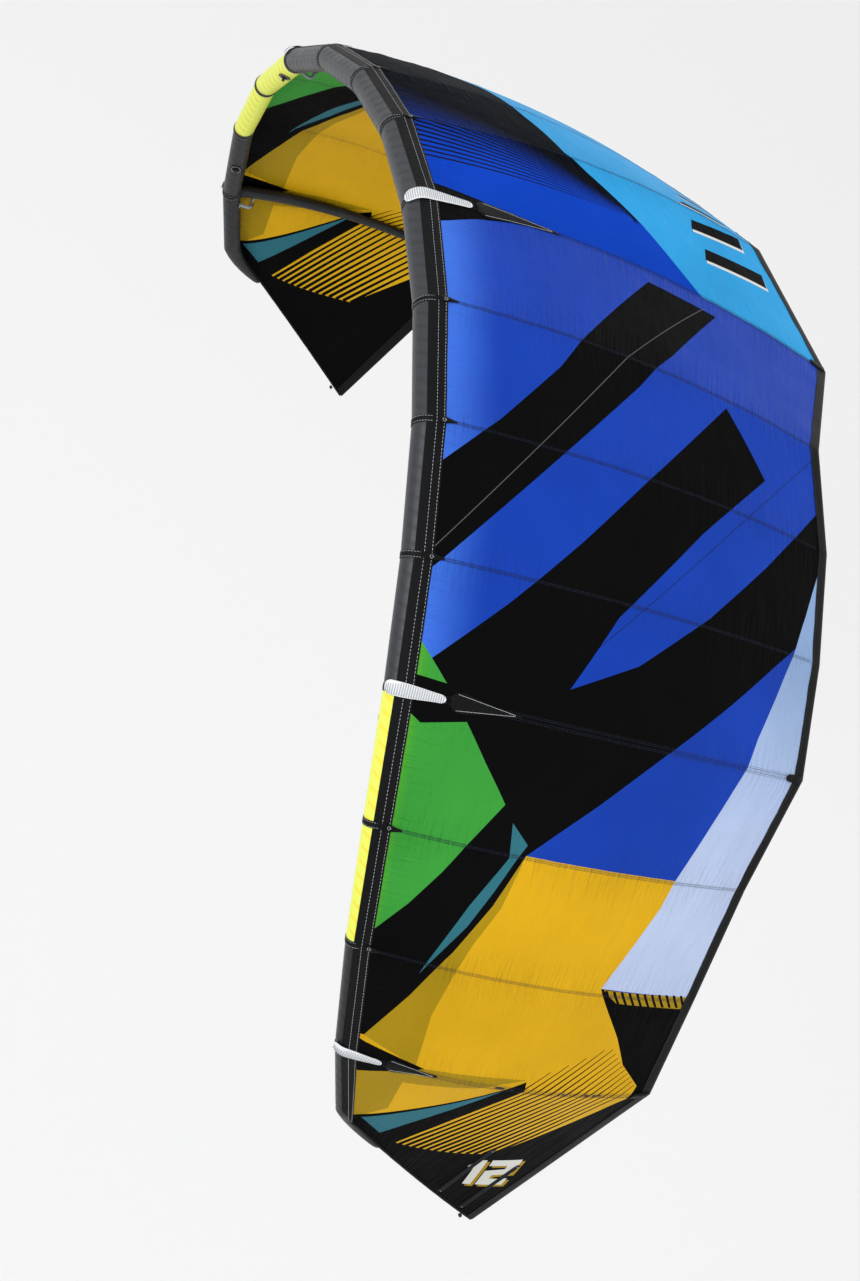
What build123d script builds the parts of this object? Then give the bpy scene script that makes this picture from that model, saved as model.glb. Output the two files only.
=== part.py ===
from build123d import *
import math
import os

# Inflatable kitesurf kite, posed as it flies: apex up, wing tips down, leading edge towards -Y.
# Lengths are in millimetres and angles in degrees. +X is the kite's left wing.
# Everything is worked out from a row of ribs, stations along the leading edge where the
# canopy gores and the leading edge panels meet. The right wing mirrors the left.

# ---- leading edge curve ----
HALF_SPAN_LENGTH = 3600.0   # along the leading edge, from the middle to the end of the tube
TIP_DIHEDRAL = 88.5         # the leading edge has turned down this far at its end
TIP_SWEEP = 34.0            # and points back this far
SWEEP_POWER = 1.9           # the sweep grows with this power of the distance
CURVE_STEPS = 240           # steps that add up the curve

# ---- ribs: share of the half length, share of the root chord, twist, toe, camber ----
ROOT_CHORD = 1860.0
RIBS = (
    (0.000, 1.000, 0.0, 0.0, 0.045),    # middle strut
    (0.132, 0.885, 3.5, 2.0, 0.050),
    (0.260, 0.925, 1.0, -1.5, 0.055),
    (0.390, 0.935, -0.5, -3.5, 0.060),
    (0.514, 0.915, 0.0, -4.0, 0.060),   # inner strut
    (0.642, 0.810, 0.5, -5.0, 0.060),
    (0.767, 0.735, 1.0, -5.0, 0.060),
    (0.899, 0.670, 0.5, -5.5, 0.060),   # outer strut
    (1.000, 0.578, -3.0, 31.0, 0.015),  # wing tip
)
STRUT_RIBS = (0, 4, 7)      # the middle, inner and outer struts

# ---- tubes ----
TUBE_RADIUS = 63.0          # leading edge at the middle
TUBE_TIP_RADIUS = 37.0      # and at its end
SLEEVE_WALL = 2.0
BLADDER_WALL = 1.5
BLADDER_GAP = 1.5           # between a bladder and its sleeve
STRUT_RADIUS = 40.0         # at the leading edge
STRUT_TAIL_RADIUS = 21.0
STRUT_TAPER = 0.72          # an outer strut's radius against the strut inside it, per step
STRUT_SADDLE_GAP = 0.5      # between a strut's cut end and the leading edge's seam band
STRUT_STEPS = 6
STRUT_NOSE_CLEARANCE = 1.7  # a strut's hollow starts this many tube radii behind the tube
STRUT_END = 0.955           # the strut stops at this share of the profile
TIP_TUBE_LENGTH = 260.0     # the taper that closes the leading edge along the tip
TIP_TUBE_END_RADIUS = 9.0
TIP_BEND_SHARE = 0.3        # the taper bends after this share of its length
TIP_BEND_SHRINK = 0.8       # its radius there, against the tube's

# ---- canopy ----
CANOPY_THICKNESS = 1.5
CANOPY_LIFT = 2.6           # canopy skin above the leading edge sleeve
CANOPY_STRUT_GAP = 1.2      # canopy skin above a strut
STRIP_WIDTH = 42.0          # sewn strip between the sleeve and the canopy
BINDING_WIDTH = 40.0        # trailing edge binding
BINDING_THICKNESS = 2.5
BINDING_STEPS = 6           # short lengths that follow its twist between two ribs
JOINT_GAP = 0.3             # between sewn skins, edge to edge

# ---- trim on the outside ----
TRIM_LIFT = 0.9             # trim above what it is sewn to
BAND_WIDTH = 26.0
BAND_THICKNESS = 1.2
BAND_LIFT = 0.3
PAD_WIDTH = 58.0
PAD_THICKNESS = 4.0
PAD_NOSE_ANGLE = 174.0      # the pad starts here on the tube, measured from the chord
PAD_TAIL = 180.0            # and runs this far back over the canopy
FAIRING_LENGTH = 345.0
FAIRING_WIDTH = 84.0
FAIRING_TAIL_WIDTH = 12.0
FAIRING_GAP = 16.0          # between a pad's tail and the fairing behind it
TRIM_SHRINK = 0.12          # pads and fairings lose this share of their size per strut outwards
TAB_LENGTH = 70.0
TAB_WIDTH = 26.0
TAB_POINT_WIDTH = 4.0
TAB_START = 12.0            # along the skin from the tube
PLATE_SPARE = 1.0           # the cutter of a narrowed plate reaches this far past its ends
TRIM_THICKNESS = 1.5
END_PATCH_LENGTH = 85.0
END_PATCH_WIDTH = 30.0
TIP_BINDING_RADIUS = 5.0
TIP_BINDING_START = 0.3     # share of the tip's profile
TIP_BINDING_STEPS = 5
BATTEN_RADIUS = 3.0
BATTEN_LENGTH = 330.0
BATTEN_INSET = 25.0
BATTEN_SHARES = (0.70, 0.88)

# ---- line attachments ----
ANCHOR_PLACES = (0.545, 0.835)   # shares of the half length
ANCHOR_ANGLE = 262.0             # place round the tube, measured from the chord
ANCHOR_RADIUS = 26.0
ANCHOR_THICKNESS = 2.0
LOOP_BORE_RADIUS = 6.0
LOOP_WALL = 2.0
LOOP_WIDTH = 10.0
BACK_LOOP_PLACE = 0.94           # share of the tip's profile

# ---- valves ----
VALVE_PLACE = 0.066              # share of the half length, one valve on each side
VALVE_ANGLE = 292.0
INFLATE_STEM_RADIUS = 9.0
DEFLATE_STEM_RADIUS = 17.0
VALVE_WALL = 3.5
STEM_HEIGHT = 15.0
FLANGE_REACH = 15.0
FLANGE_THICKNESS = 2.5
CAP_THICKNESS = 4.0
CAP_REACH = 2.0             # cap beyond the stem
CAP_GAP = 0.3
STRAP_REACH = 8.0           # from the cap to its hinge line
STRAP_WIDTH = 7.0
STRAP_THICKNESS = 1.4
POST_LENGTH = 3.0

# ---- one-pump hoses and their clips ----
HOSE_RADIUS = 6.5
HOSE_WALL = 1.5
HOSE_OFFSET = 70.0          # beside the strut's middle
HOSE_ANGLE = 340.0          # where it leaves the tube
HOSE_RUN = 50.0             # straight out of the tube
HOSE_BACK = 70.0            # from the tube's fitting to the strut's, along the chord
HOSE_BEND_RADIUS = 15.0
HOSE_FLANGE_RADIUS = 14.0
HOSE_FLANGE_THICKNESS = 2.0
HOSE_END_GAP = 1.2
CLIP_WIDTH = 14.0
CLIP_PLATE = 3.0
CLIP_GAP = 0.5
CLIP_REACH = 6.0            # plate beyond the hose on each side

# ---- bladder access zip, on the right wing ----
ZIP_ANGLE = 350.0
ZIP_WIDTH = 16.0
ZIP_THICKNESS = 1.6
ZIP_START = 0.18            # shares of the first panel
ZIP_FINISH = 0.82
SLIDER_LENGTH = 16.0
SLIDER_WIDTH = 11.0
SLIDER_HEIGHT = 5.0
PULL_LENGTH = 18.0
PULL_WIDTH = 6.0
PULL_THICKNESS = 1.2

PARTS = {}


def add(name, *shapes):
    """Keeps the solids of one sub-part under its name."""
    PARTS.setdefault(name, []).extend(s for shape in shapes for s in shape.solids())


def both(name, *shapes):
    """A left piece and its right mirror, in one sub-part."""
    add(name, *shapes)
    add(name, *(mirror(s, Plane.YZ) for s in shapes))


def left_right(name, *shapes):
    """A left piece and its right mirror, each a sub-part."""
    add(name + "_left", *shapes)
    add(name + "_right", *(mirror(s, Plane.YZ) for s in shapes))


def slope_at(share):
    """Dihedral and sweep of the leading edge at a share of its half length."""
    dihedral = math.radians(TIP_DIHEDRAL) * share
    sweep = math.radians(TIP_SWEEP) * share ** SWEEP_POWER
    return dihedral, sweep


def tangent_at(share):
    dihedral, sweep = slope_at(share)
    across = math.cos(sweep)
    return Vector(math.cos(dihedral) * across, math.sin(sweep), -math.sin(dihedral) * across)


def edge_point(share):
    """Tube centre at a share of the half length, by adding up short steps."""
    count = max(1, round(CURVE_STEPS * share))
    step = share / count
    point = Vector(0, 0, 0)
    for i in range(count):
        point += tangent_at((i + 0.5) * step) * (step * HALF_SPAN_LENGTH)
    return point


def tube_radius(share):
    return TUBE_RADIUS + (TUBE_TIP_RADIUS - TUBE_RADIUS) * share


class Rib:
    """A station: tube centre, chord direction, outward direction and the skin's arc."""

    def __init__(self, share, chord, twist, toe, camber):
        dihedral, _ = slope_at(share)
        out = Vector(math.sin(dihedral), 0, math.cos(dihedral))
        along = Vector(math.cos(dihedral), 0, -math.sin(dihedral))
        twist, toe = math.radians(twist), math.radians(toe)
        self.share = share
        self.centre = edge_point(share) if share else Vector(0, 0, 0)
        self.radius = tube_radius(share)
        self.tangent = tangent_at(share)
        self.chord = chord
        self.back = (
            out * math.sin(twist)
            + along * (math.cos(twist) * math.sin(toe))
            + Vector(0, 1, 0) * (math.cos(twist) * math.cos(toe))
        )
        self.out = (out - self.back * out.dot(self.back)).normalized()
        self.side = self.back.cross(self.out)
        # the skin leaves the tube where its arc is tangent to it
        rise = math.atan(4 * camber) - math.asin(self.radius / chord)
        self.start_angle = 90 + math.degrees(rise)
        lift = self.radius + CANOPY_LIFT
        x = lift * math.cos(math.radians(self.start_angle))
        y = lift * math.sin(math.radians(self.start_angle))
        span = math.hypot(chord - x, y)
        sagitta = camber * chord
        self.arc_radius = (span * span / 4 + sagitta * sagitta) / (2 * sagitta)
        self.arc_half = math.asin(span / 2 / self.arc_radius)
        lean = math.atan2(-y, chord - x)
        middle = ((x + chord) / 2, y / 2)
        down = self.arc_radius - sagitta
        self.arc_centre = (middle[0] + down * math.sin(lean), middle[1] - down * math.cos(lean))
        self.arc_lean = lean
        self.arc_length = 2 * self.arc_half * self.arc_radius

    def at(self, x, y, z=0.0):
        """Point in the rib's own axes: back along the chord, outwards, and along the span."""
        return self.centre + self.back * x + self.out * y + self.side * z

    def round_tube(self, reach, angle):
        """Point round the tube in the rib's plane, which cuts the swept tube at a slant."""
        turn = math.radians(angle)
        stretch = 1 / self.side.dot(self.tangent)
        return self.at(reach * stretch * math.cos(turn), reach * math.sin(turn))

    def skin_xy(self, share, lift=0.0):
        """Point of the skin's inner face in the rib's plane, share 0 at the tube, 1 at the back."""
        angle = math.pi / 2 + self.arc_lean + self.arc_half * (1 - 2 * share)
        reach = self.arc_radius + lift
        return (
            self.arc_centre[0] + reach * math.cos(angle),
            self.arc_centre[1] + reach * math.sin(angle),
        )

    def skin(self, share, lift=0.0, z=0.0):
        return self.at(*self.skin_xy(share, lift), z)

    def skin_back(self, share):
        """Unit vector along the skin towards the trailing edge."""
        return (self.skin(share + 0.001) - self.skin(share - 0.001)).normalized()

    def skin_out(self, share):
        return self.side.cross(self.skin_back(share)).normalized()

    def share_of(self, distance):
        """Share of the skin's arc that a length along it takes."""
        return distance / self.arc_length

    def band(self, first, last, lift, thickness):
        """Closed wire of a strip of skin between two shares."""
        middle = (first + last) / 2
        outer = [self.skin(s, lift + thickness) for s in (first, middle, last)]
        inner = [self.skin(s, lift) for s in (last, middle, first)]
        return Wire([
            Edge.make_three_point_arc(*outer),
            Edge.make_line(outer[2], inner[0]),
            Edge.make_three_point_arc(*inner),
            Edge.make_line(inner[2], outer[0]),
        ])


def make_ribs():
    return [
        Rib(share, ROOT_CHORD * chord, twist, toe, camber)
        for share, chord, twist, toe, camber in RIBS
    ]


def circle(centre, direction, radius):
    return Wire.make_circle(radius, Plane(origin=centre, z_dir=direction))


def tube(centres, directions, radii):
    wires = [circle(*each) for each in zip(centres, directions, radii)]
    return Solid.make_loft(wires, ruled=True)


def skin_strip(a, b, first, last, lift, thickness):
    """Ruled strip of skin from rib a to rib b; first and last give a rib's two shares."""
    return Solid.make_loft(
        [rib.band(first(rib), last(rib), lift, thickness) for rib in (a, b)], ruled=True
    )


def strip_end(rib):
    return rib.share_of(STRIP_WIDTH)


def canopy_start(rib):
    return rib.share_of(STRIP_WIDTH + JOINT_GAP)


def canopy_end(rib):
    return 1 - rib.share_of(BINDING_WIDTH + JOINT_GAP)


def binding_start(rib):
    return 1 - rib.share_of(BINDING_WIDTH)


def make_leading_edge(ribs):
    """Sleeve panels between the ribs, mitred in the ribs' planes, and the bladder inside."""
    for i, (a, b) in enumerate(zip(ribs, ribs[1:])):
        ends = ([a.centre, b.centre], [a.tangent, b.tangent])
        outer = tube(*ends, [a.radius, b.radius])
        inner = tube(*ends, [a.radius - SLEEVE_WALL, b.radius - SLEEVE_WALL])
        both(f"leading_edge_panel_{i + 1}", outer - inner)
    inset = SLEEVE_WALL + BLADDER_GAP
    row = [mirrored(rib) for rib in ribs[:0:-1]] + [(r.centre, r.tangent, r.radius) for r in ribs]
    centres, directions, radii = zip(*row)
    skin = tube(centres, directions, [r - inset for r in radii])
    air_ends = [centres[0] + directions[0] * BLADDER_WALL, *centres[1:-1]]
    air_ends.append(centres[-1] - directions[-1] * BLADDER_WALL)
    air = tube(air_ends, directions, [r - inset - BLADDER_WALL for r in radii])
    add("leading_edge_bladder", skin - air)


def mirrored(rib):
    """A left rib's tube centre, direction along the row and radius on the right wing."""
    c, t = rib.centre, rib.tangent
    return Vector(-c.X, c.Y, c.Z), Vector(t.X, -t.Y, -t.Z), rib.radius


def make_tip(ribs):
    """The taper that closes the tube, the bound tip edge and the battens beside it."""
    tip, outer = ribs[-1], ribs[-2]
    front = tip.centre + tip.tangent * JOINT_GAP
    edge = (tip.skin(0.5) - tip.centre).normalized()
    # it turns from the tube's own direction towards the tip's edge in two straight pieces
    bend = front + (tip.tangent + edge).normalized() * (TIP_TUBE_LENGTH * TIP_BEND_SHARE)
    end = bend + (tip.tangent / 4 + edge).normalized() * (TIP_TUBE_LENGTH * (1 - TIP_BEND_SHARE))
    lean = (tip.tangent / 2 + edge).normalized()
    radii = [tip.radius, tip.radius * TIP_BEND_SHRINK, TIP_TUBE_END_RADIUS]
    both("tip_tube", tube([front, bend, end], [tip.tangent, lean, edge], radii))
    step = (1 - TIP_BINDING_START) / (TIP_BINDING_STEPS - 1)
    shares = [TIP_BINDING_START + step * i for i in range(TIP_BINDING_STEPS)]
    beside = TIP_BINDING_RADIUS + JOINT_GAP
    centres = [tip.skin(share, CANOPY_THICKNESS / 2, beside) for share in shares]
    directions = [tip.skin_back(share) for share in shares]
    both("tip_edge_binding", tube(centres, directions, [TIP_BINDING_RADIUS] * len(shares)))
    lift = CANOPY_THICKNESS + TRIM_LIFT + BATTEN_RADIUS
    for share in BATTEN_SHARES:
        end, root = tip.skin(share, lift), outer.skin(share, lift)
        inward = (root - end).normalized()
        ends = [end + inward * BATTEN_INSET, end + inward * (BATTEN_INSET + BATTEN_LENGTH)]
        both("tip_battens", tube(ends, [inward] * 2, [BATTEN_RADIUS] * 2))


def make_canopy(ribs):
    """One gore between each pair of ribs, with the sewn strip and the binding at its edges."""
    for i, (a, b) in enumerate(zip(ribs, ribs[1:])):
        gore = skin_strip(a, b, canopy_start, canopy_end, 0, CANOPY_THICKNESS)
        left_right(f"canopy_gore_{i + 1}", gore)
        strip = skin_strip(a, b, lambda rib: 0, strip_end, 0, CANOPY_THICKNESS)
        both("leading_edge_strip", strip)
        both("trailing_edge_binding", binding_length(a, b))


def binding_length(a, b):
    """Flat binding from rib a to rib b, centred on the canopy's thickness."""
    low = (CANOPY_THICKNESS - BINDING_THICKNESS) / 2
    high = low + BINDING_THICKNESS
    corners = [
        [rib.skin(*place) for place in (
            (binding_start(rib), low), (1, low), (1, high), (binding_start(rib), high))]
        for rib in (a, b)
    ]
    sections = []
    for i in range(BINDING_STEPS + 1):
        t = i / BINDING_STEPS
        sections.append(Wire.make_polygon([p + (q - p) * t for p, q in zip(*corners)]))
    return Solid.make_loft(sections, ruled=True)


def strut_line(rib, order, inset=0.0, first=0.0, last=STRUT_END):
    """Centres, directions and radii of a strut under a rib's skin."""
    centres, directions, radii = [], [], []
    for i in range(STRUT_STEPS):
        share = first + (last - first) * i / (STRUT_STEPS - 1)
        centre, radius = strut_place(rib, share, *strut_radii(order))
        centres.append(centre)
        directions.append(rib.skin_back(share))
        radii.append(radius - inset)
    return centres, directions, radii


def edge_envelope(ribs, i, gap):
    """Room that the leading edge needs round a rib."""
    near = [ribs[i - 1] if i else None, ribs[i], ribs[i + 1]]
    row = [(r.centre, r.tangent, r.radius + gap) for r in near if r]
    if not i:
        c, t, r = mirrored(ribs[1])
        row.insert(0, (c, t, r + gap))
    return tube(*zip(*row))


def make_struts(ribs):
    """Tapered sleeves under the middle, inner and outer ribs, each with its bladder."""
    names = ("strut_middle", "strut_inner", "strut_outer")
    inset = SLEEVE_WALL + BLADDER_GAP
    for order, (name, i) in enumerate(zip(names, STRUT_RIBS)):
        rib = ribs[i]
        cut = edge_envelope(ribs, i, BAND_LIFT + BAND_THICKNESS + STRUT_SADDLE_GAP)
        first = rib.share_of(rib.radius * STRUT_NOSE_CLEARANCE + STRUT_RADIUS / 2)
        last = STRUT_END - rib.share_of(2 * SLEEVE_WALL)
        sleeve = tube(*strut_line(rib, order)) - cut
        sleeve -= tube(*strut_line(rib, order, SLEEVE_WALL, first, last))
        end_gap = rib.share_of(2 * BLADDER_GAP)
        skin = tube(*strut_line(rib, order, inset, first + end_gap, last - end_gap))
        end_gap += rib.share_of(2 * BLADDER_WALL)
        skin -= tube(*strut_line(
            rib, order, inset + BLADDER_WALL, first + end_gap, last - end_gap))
        if order:
            left_right(name, sleeve)
            both("strut_bladders", skin)
        else:
            add(name, sleeve)
            add("strut_bladders", skin)


def make_seam_bands(ribs):
    """A band round the tube over each joint between two panels."""
    for i, rib in enumerate(ribs[:-1]):
        before = mirrored(ribs[1])[0] if not i else ribs[i - 1].centre
        after = ribs[i + 1].centre
        half = BAND_WIDTH / 2
        ends = [
            rib.centre + (before - rib.centre).normalized() * half,
            rib.centre,
            rib.centre + (after - rib.centre).normalized() * half,
        ]
        radius = rib.radius + BAND_LIFT
        outer = tube(ends, [rib.tangent] * 3, [radius + BAND_THICKNESS] * 3)
        inner = tube(ends, [rib.tangent] * 3, [radius] * 3)
        band = outer - inner
        if i:
            both("seam_bands", band)
        else:
            add("seam_bands", band)


def plate(rib, first, last, lift, thickness, width, tail_width):
    """Skin-following plate on a rib, narrowing from width to tail_width."""
    strip = Solid.extrude(Face(rib.band(first, last, lift, thickness)), rib.side * width)
    strip = strip.translate(rib.side * (-width / 2))
    if tail_width >= width:
        return strip
    low, high = rib.skin(first), rib.skin(last)
    back = (high - low).normalized()
    reach = (high - low).length
    base = Plane(origin=low, x_dir=back, z_dir=back.cross(rib.side) * -1)
    start, end = -PLATE_SPARE, reach + PLATE_SPARE
    outline = Polyline(
        (start, width / 2), (end, tail_width / 2), (end, -tail_width / 2), (start, -width / 2),
        close=True,
    )
    cutter = extrude(base * make_face(outline), amount=reach, both=True)
    return strip & cutter


def make_trim(ribs):
    """Scuff pads, fairings, seam tabs and the patches over the struts' ends."""
    outside = CANOPY_THICKNESS + TRIM_LIFT
    for order, i in enumerate(STRUT_RIBS):
        rib = ribs[i]
        shrink = 1 - TRIM_SHRINK * order
        keep = both if i else add
        pad = scuff_pad(rib, PAD_WIDTH * shrink, PAD_TAIL * shrink)
        keep("scuff_pads", pad)
        first = rib.share_of(PAD_TAIL * shrink + FAIRING_GAP)
        last = first + rib.share_of(FAIRING_LENGTH * shrink ** 2)
        keep("strut_fairings", plate(
            rib, first, last, outside, TRIM_THICKNESS, FAIRING_WIDTH * shrink, FAIRING_TAIL_WIDTH))
        end_first = 1 - rib.share_of(END_PATCH_LENGTH)
        keep("strut_end_patches", plate(
            rib, end_first, 1, outside + BINDING_THICKNESS, TRIM_THICKNESS,
            END_PATCH_WIDTH, END_PATCH_WIDTH))
    for i, rib in enumerate(ribs[:-1]):
        if i not in STRUT_RIBS:
            first = rib.share_of(TAB_START)
            last = first + rib.share_of(TAB_LENGTH)
            both("seam_tabs", plate(
                rib, first, last, outside, TRIM_THICKNESS, TAB_WIDTH, TAB_POINT_WIDTH))


def scuff_pad(rib, width, tail):
    """Pad that wraps the tube's nose and runs back over the canopy."""
    lift = CANOPY_LIFT + CANOPY_THICKNESS + TRIM_LIFT
    ring = []
    for extra in (0, PAD_THICKNESS):
        reach = rib.radius + lift + extra
        middle = (PAD_NOSE_ANGLE + rib.start_angle) / 2
        ring.append([rib.round_tube(reach, a) for a in (PAD_NOSE_ANGLE, middle)])
        ring[-1].append(rib.skin(0, CANOPY_THICKNESS + TRIM_LIFT + extra))
    last = rib.share_of(tail)
    above = CANOPY_THICKNESS + TRIM_LIFT
    inner = [rib.skin(last * s, above) for s in (1, 0.5)] + [ring[0][2]]
    outer = [ring[1][2]] + [rib.skin(last * s, above + PAD_THICKNESS) for s in (0.5, 1)]
    wire = Wire([
        Edge.make_three_point_arc(*ring[1]),
        Edge.make_three_point_arc(*outer),
        Edge.make_line(outer[2], inner[0]),
        Edge.make_three_point_arc(*inner),
        Edge.make_three_point_arc(*ring[0][::-1]),
        Edge.make_line(ring[0][0], ring[1][0]),
    ])
    pad = Solid.extrude(Face(wire), rib.tangent * width)
    return pad.translate(rib.tangent * (-width / 2))


def tube_frame(ribs, share, angle, lift):
    """Plane on the sleeve: z outwards from the tube, x along it, at an angle from the chord."""
    order = max(i for i, rib in enumerate(ribs[:-1]) if rib.share <= share)
    a, b = ribs[order], ribs[order + 1]
    t = (share - a.share) / (b.share - a.share)
    centre = a.centre + (b.centre - a.centre) * t
    axis = (b.centre - a.centre).normalized()
    turn = math.radians(angle)
    back = a.back + (b.back - a.back) * t
    out = a.out + (b.out - a.out) * t
    radial = back * math.cos(turn) + out * math.sin(turn)
    radial = (radial - axis * radial.dot(axis)).normalized()
    reach = a.radius + (b.radius - a.radius) * t + lift
    return Plane(origin=centre + radial * reach, x_dir=axis, z_dir=radial)


def webbing_ring(plane):
    """Flat webbing ring whose hole runs along the plane's y axis."""
    turned = Plane(origin=plane.origin - plane.y_dir * (LOOP_WIDTH / 2),
                   x_dir=plane.x_dir, z_dir=plane.y_dir)
    face = Circle(LOOP_BORE_RADIUS + LOOP_WALL) - Circle(LOOP_BORE_RADIUS)
    return turned * extrude(face, amount=LOOP_WIDTH)


def front_loop_plane(ribs, share):
    rise = TRIM_LIFT + ANCHOR_THICKNESS + LOOP_BORE_RADIUS + LOOP_WALL + JOINT_GAP
    return tube_frame(ribs, share, ANCHOR_ANGLE, rise)


def back_loop_plane(ribs):
    tip = ribs[-1]
    beside = 2 * TIP_BINDING_RADIUS + LOOP_BORE_RADIUS + LOOP_WALL + 2 * JOINT_GAP
    origin = tip.skin(BACK_LOOP_PLACE, CANOPY_THICKNESS / 2, beside)
    return Plane(origin=origin, x_dir=tip.skin_back(BACK_LOOP_PLACE), z_dir=tip.side)


def make_line_attachments(ribs):
    """Front line anchors on the tube, and the back line loops at the wing tips."""
    stand = (Align.CENTER, Align.CENTER, Align.MIN)
    for name, share in zip(("inner", "outer"), ANCHOR_PLACES):
        base = tube_frame(ribs, share, ANCHOR_ANGLE, TRIM_LIFT)
        both("line_anchor_patches", base * Cylinder(ANCHOR_RADIUS, ANCHOR_THICKNESS, align=stand))
        both(f"front_line_loops_{name}", webbing_ring(front_loop_plane(ribs, share)))
    both("back_line_loops", webbing_ring(back_loop_plane(ribs)))


def cap_hinge(stem_radius):
    """Hinge line of a valve's cap in the valve's own frame: how far out, and how high."""
    return stem_radius + CAP_REACH + STRAP_REACH, STEM_HEIGHT + CAP_GAP


def make_valve(plane, stem_radius):
    """Flanged stem with a post for the cap's strap, and the cap that closes it."""
    stand = (Align.CENTER, Align.CENTER, Align.MIN)
    reach, height = cap_hinge(stem_radius)
    body = Cylinder(stem_radius + FLANGE_REACH, FLANGE_THICKNESS, align=stand)
    body += Cylinder(stem_radius, STEM_HEIGHT, align=stand)
    body -= Pos(0, 0, FLANGE_THICKNESS) * Cylinder(
        stem_radius - VALVE_WALL, STEM_HEIGHT, align=stand)
    post = Box(POST_LENGTH, STRAP_WIDTH, STEM_HEIGHT, align=(Align.MAX, Align.CENTER, Align.MIN))
    body += Pos(-reach, 0, 0) * post
    cap = Pos(0, 0, height) * Cylinder(stem_radius + CAP_REACH, CAP_THICKNESS, align=stand)
    strap = Box(reach, STRAP_WIDTH, STRAP_THICKNESS, align=(Align.MIN, Align.CENTER, Align.MIN))
    cap += Pos(-reach, 0, height) * strap
    return plane * body, plane * cap


def make_valves(ribs):
    """The inflation valve on the left wing and the wider deflation valve on the right."""
    plane = tube_frame(ribs, VALVE_PLACE, VALVE_ANGLE, TRIM_LIFT)
    valve, cap = make_valve(plane, INFLATE_STEM_RADIUS)
    add("inflation_valve", valve)
    add("inflation_valve_cap", cap)
    valve, cap = (mirror(s, Plane.YZ) for s in make_valve(plane, DEFLATE_STEM_RADIUS))
    add("deflation_valve", valve)
    add("deflation_valve_cap", cap)


def strut_radii(order):
    """Root and tail radius of a strut, counted outwards from the middle."""
    shrink = STRUT_TAPER ** (order / 2)
    return STRUT_RADIUS * shrink, STRUT_TAIL_RADIUS * shrink


def strut_place(rib, share, root, tail):
    """Centre and radius of a strut at a share of its rib's skin."""
    radius = root + (tail - root) * share / STRUT_END
    return rib.skin(share, -CANOPY_STRUT_GAP - radius), radius


def hose_points(ribs, order):
    """Corners of the hose beside a strut: tube fitting, two bends, strut fitting."""
    rib = ribs[STRUT_RIBS[order]]
    lift = HOSE_END_GAP
    leave = tube_frame(ribs, rib.share + HOSE_OFFSET / HALF_SPAN_LENGTH, HOSE_ANGLE, lift)
    start = leave.origin
    back = (start - rib.centre).dot(rib.back) + HOSE_BACK
    centre, radius = strut_place(rib, rib.share_of(back), *strut_radii(order))
    return [
        start,
        start + leave.z_dir * HOSE_RUN,
        centre + rib.side * HOSE_OFFSET,
        centre + rib.side * (radius + HOSE_END_GAP),
    ]


def clip_frame(ribs, order):
    """Plane of a hose clip: x along the hose, y from the strut outwards, z away from the tube."""
    _, low, high, _ = hose_points(ribs, order)
    along = (high - low).normalized()
    side = ribs[STRUT_RIBS[order]].side
    across = (side - along * side.dot(along)).normalized()
    return Plane(origin=(low + high) / 2, x_dir=along, z_dir=along.cross(across))


def make_hose(points):
    path = FilletPolyline(*points, radius=HOSE_BEND_RADIUS)
    start = Plane(origin=points[0], z_dir=points[1] - points[0])
    hose = sweep(start * Circle(HOSE_RADIUS), path=path)
    finish = Plane(origin=points[3], z_dir=points[2] - points[3])
    stand = (Align.CENTER, Align.CENTER, Align.MIN)
    flange = Cylinder(HOSE_FLANGE_RADIUS, HOSE_FLANGE_THICKNESS, align=stand)
    hose += start * flange
    hose += finish * flange
    return hose - sweep(start * Circle(HOSE_RADIUS - HOSE_WALL), path=path)


def make_clip():
    """Base with an upright beside the hose, and the lever hinged on top of the upright."""
    inside = HOSE_RADIUS + CLIP_GAP
    wide = inside + CLIP_REACH
    base = Pos(0, 0, -inside - CLIP_PLATE / 2) * Box(CLIP_WIDTH, 2 * wide, CLIP_PLATE)
    upright = Box(CLIP_WIDTH, CLIP_REACH, 2 * inside - CLIP_GAP,
                  align=(Align.CENTER, Align.MAX, Align.MIN))
    base += Pos(0, wide, -inside) * upright
    lever = Pos(0, 0, inside + CLIP_PLATE / 2) * Box(CLIP_WIDTH, 2 * wide, CLIP_PLATE)
    return base, lever


def make_hoses(ribs):
    """A hose from the leading edge into every strut, each with a pinch clip."""
    base, lever = make_clip()
    for order, name in enumerate(("middle", "inner", "outer")):
        hose = make_hose(hose_points(ribs, order))
        frame = clip_frame(ribs, order)
        if order:
            both("one_pump_hoses", hose)
            both("hose_clip_bases", frame * base)
            left_right(f"hose_clip_lever_{name}", frame * lever)
        else:
            add("one_pump_hoses", hose)
            add("hose_clip_bases", frame * base)
            add(f"hose_clip_lever_{name}", frame * lever)


def zip_frame(ribs):
    """Plane at the zip's inner end on the left wing, x along it, and the zip's length."""
    first, second = (
        tube_frame(ribs, ribs[1].share * t, ZIP_ANGLE, TRIM_LIFT) for t in (ZIP_START, ZIP_FINISH)
    )
    line = second.origin - first.origin
    return Plane(origin=first.origin, x_dir=line, z_dir=first.z_dir), line.length


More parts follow.
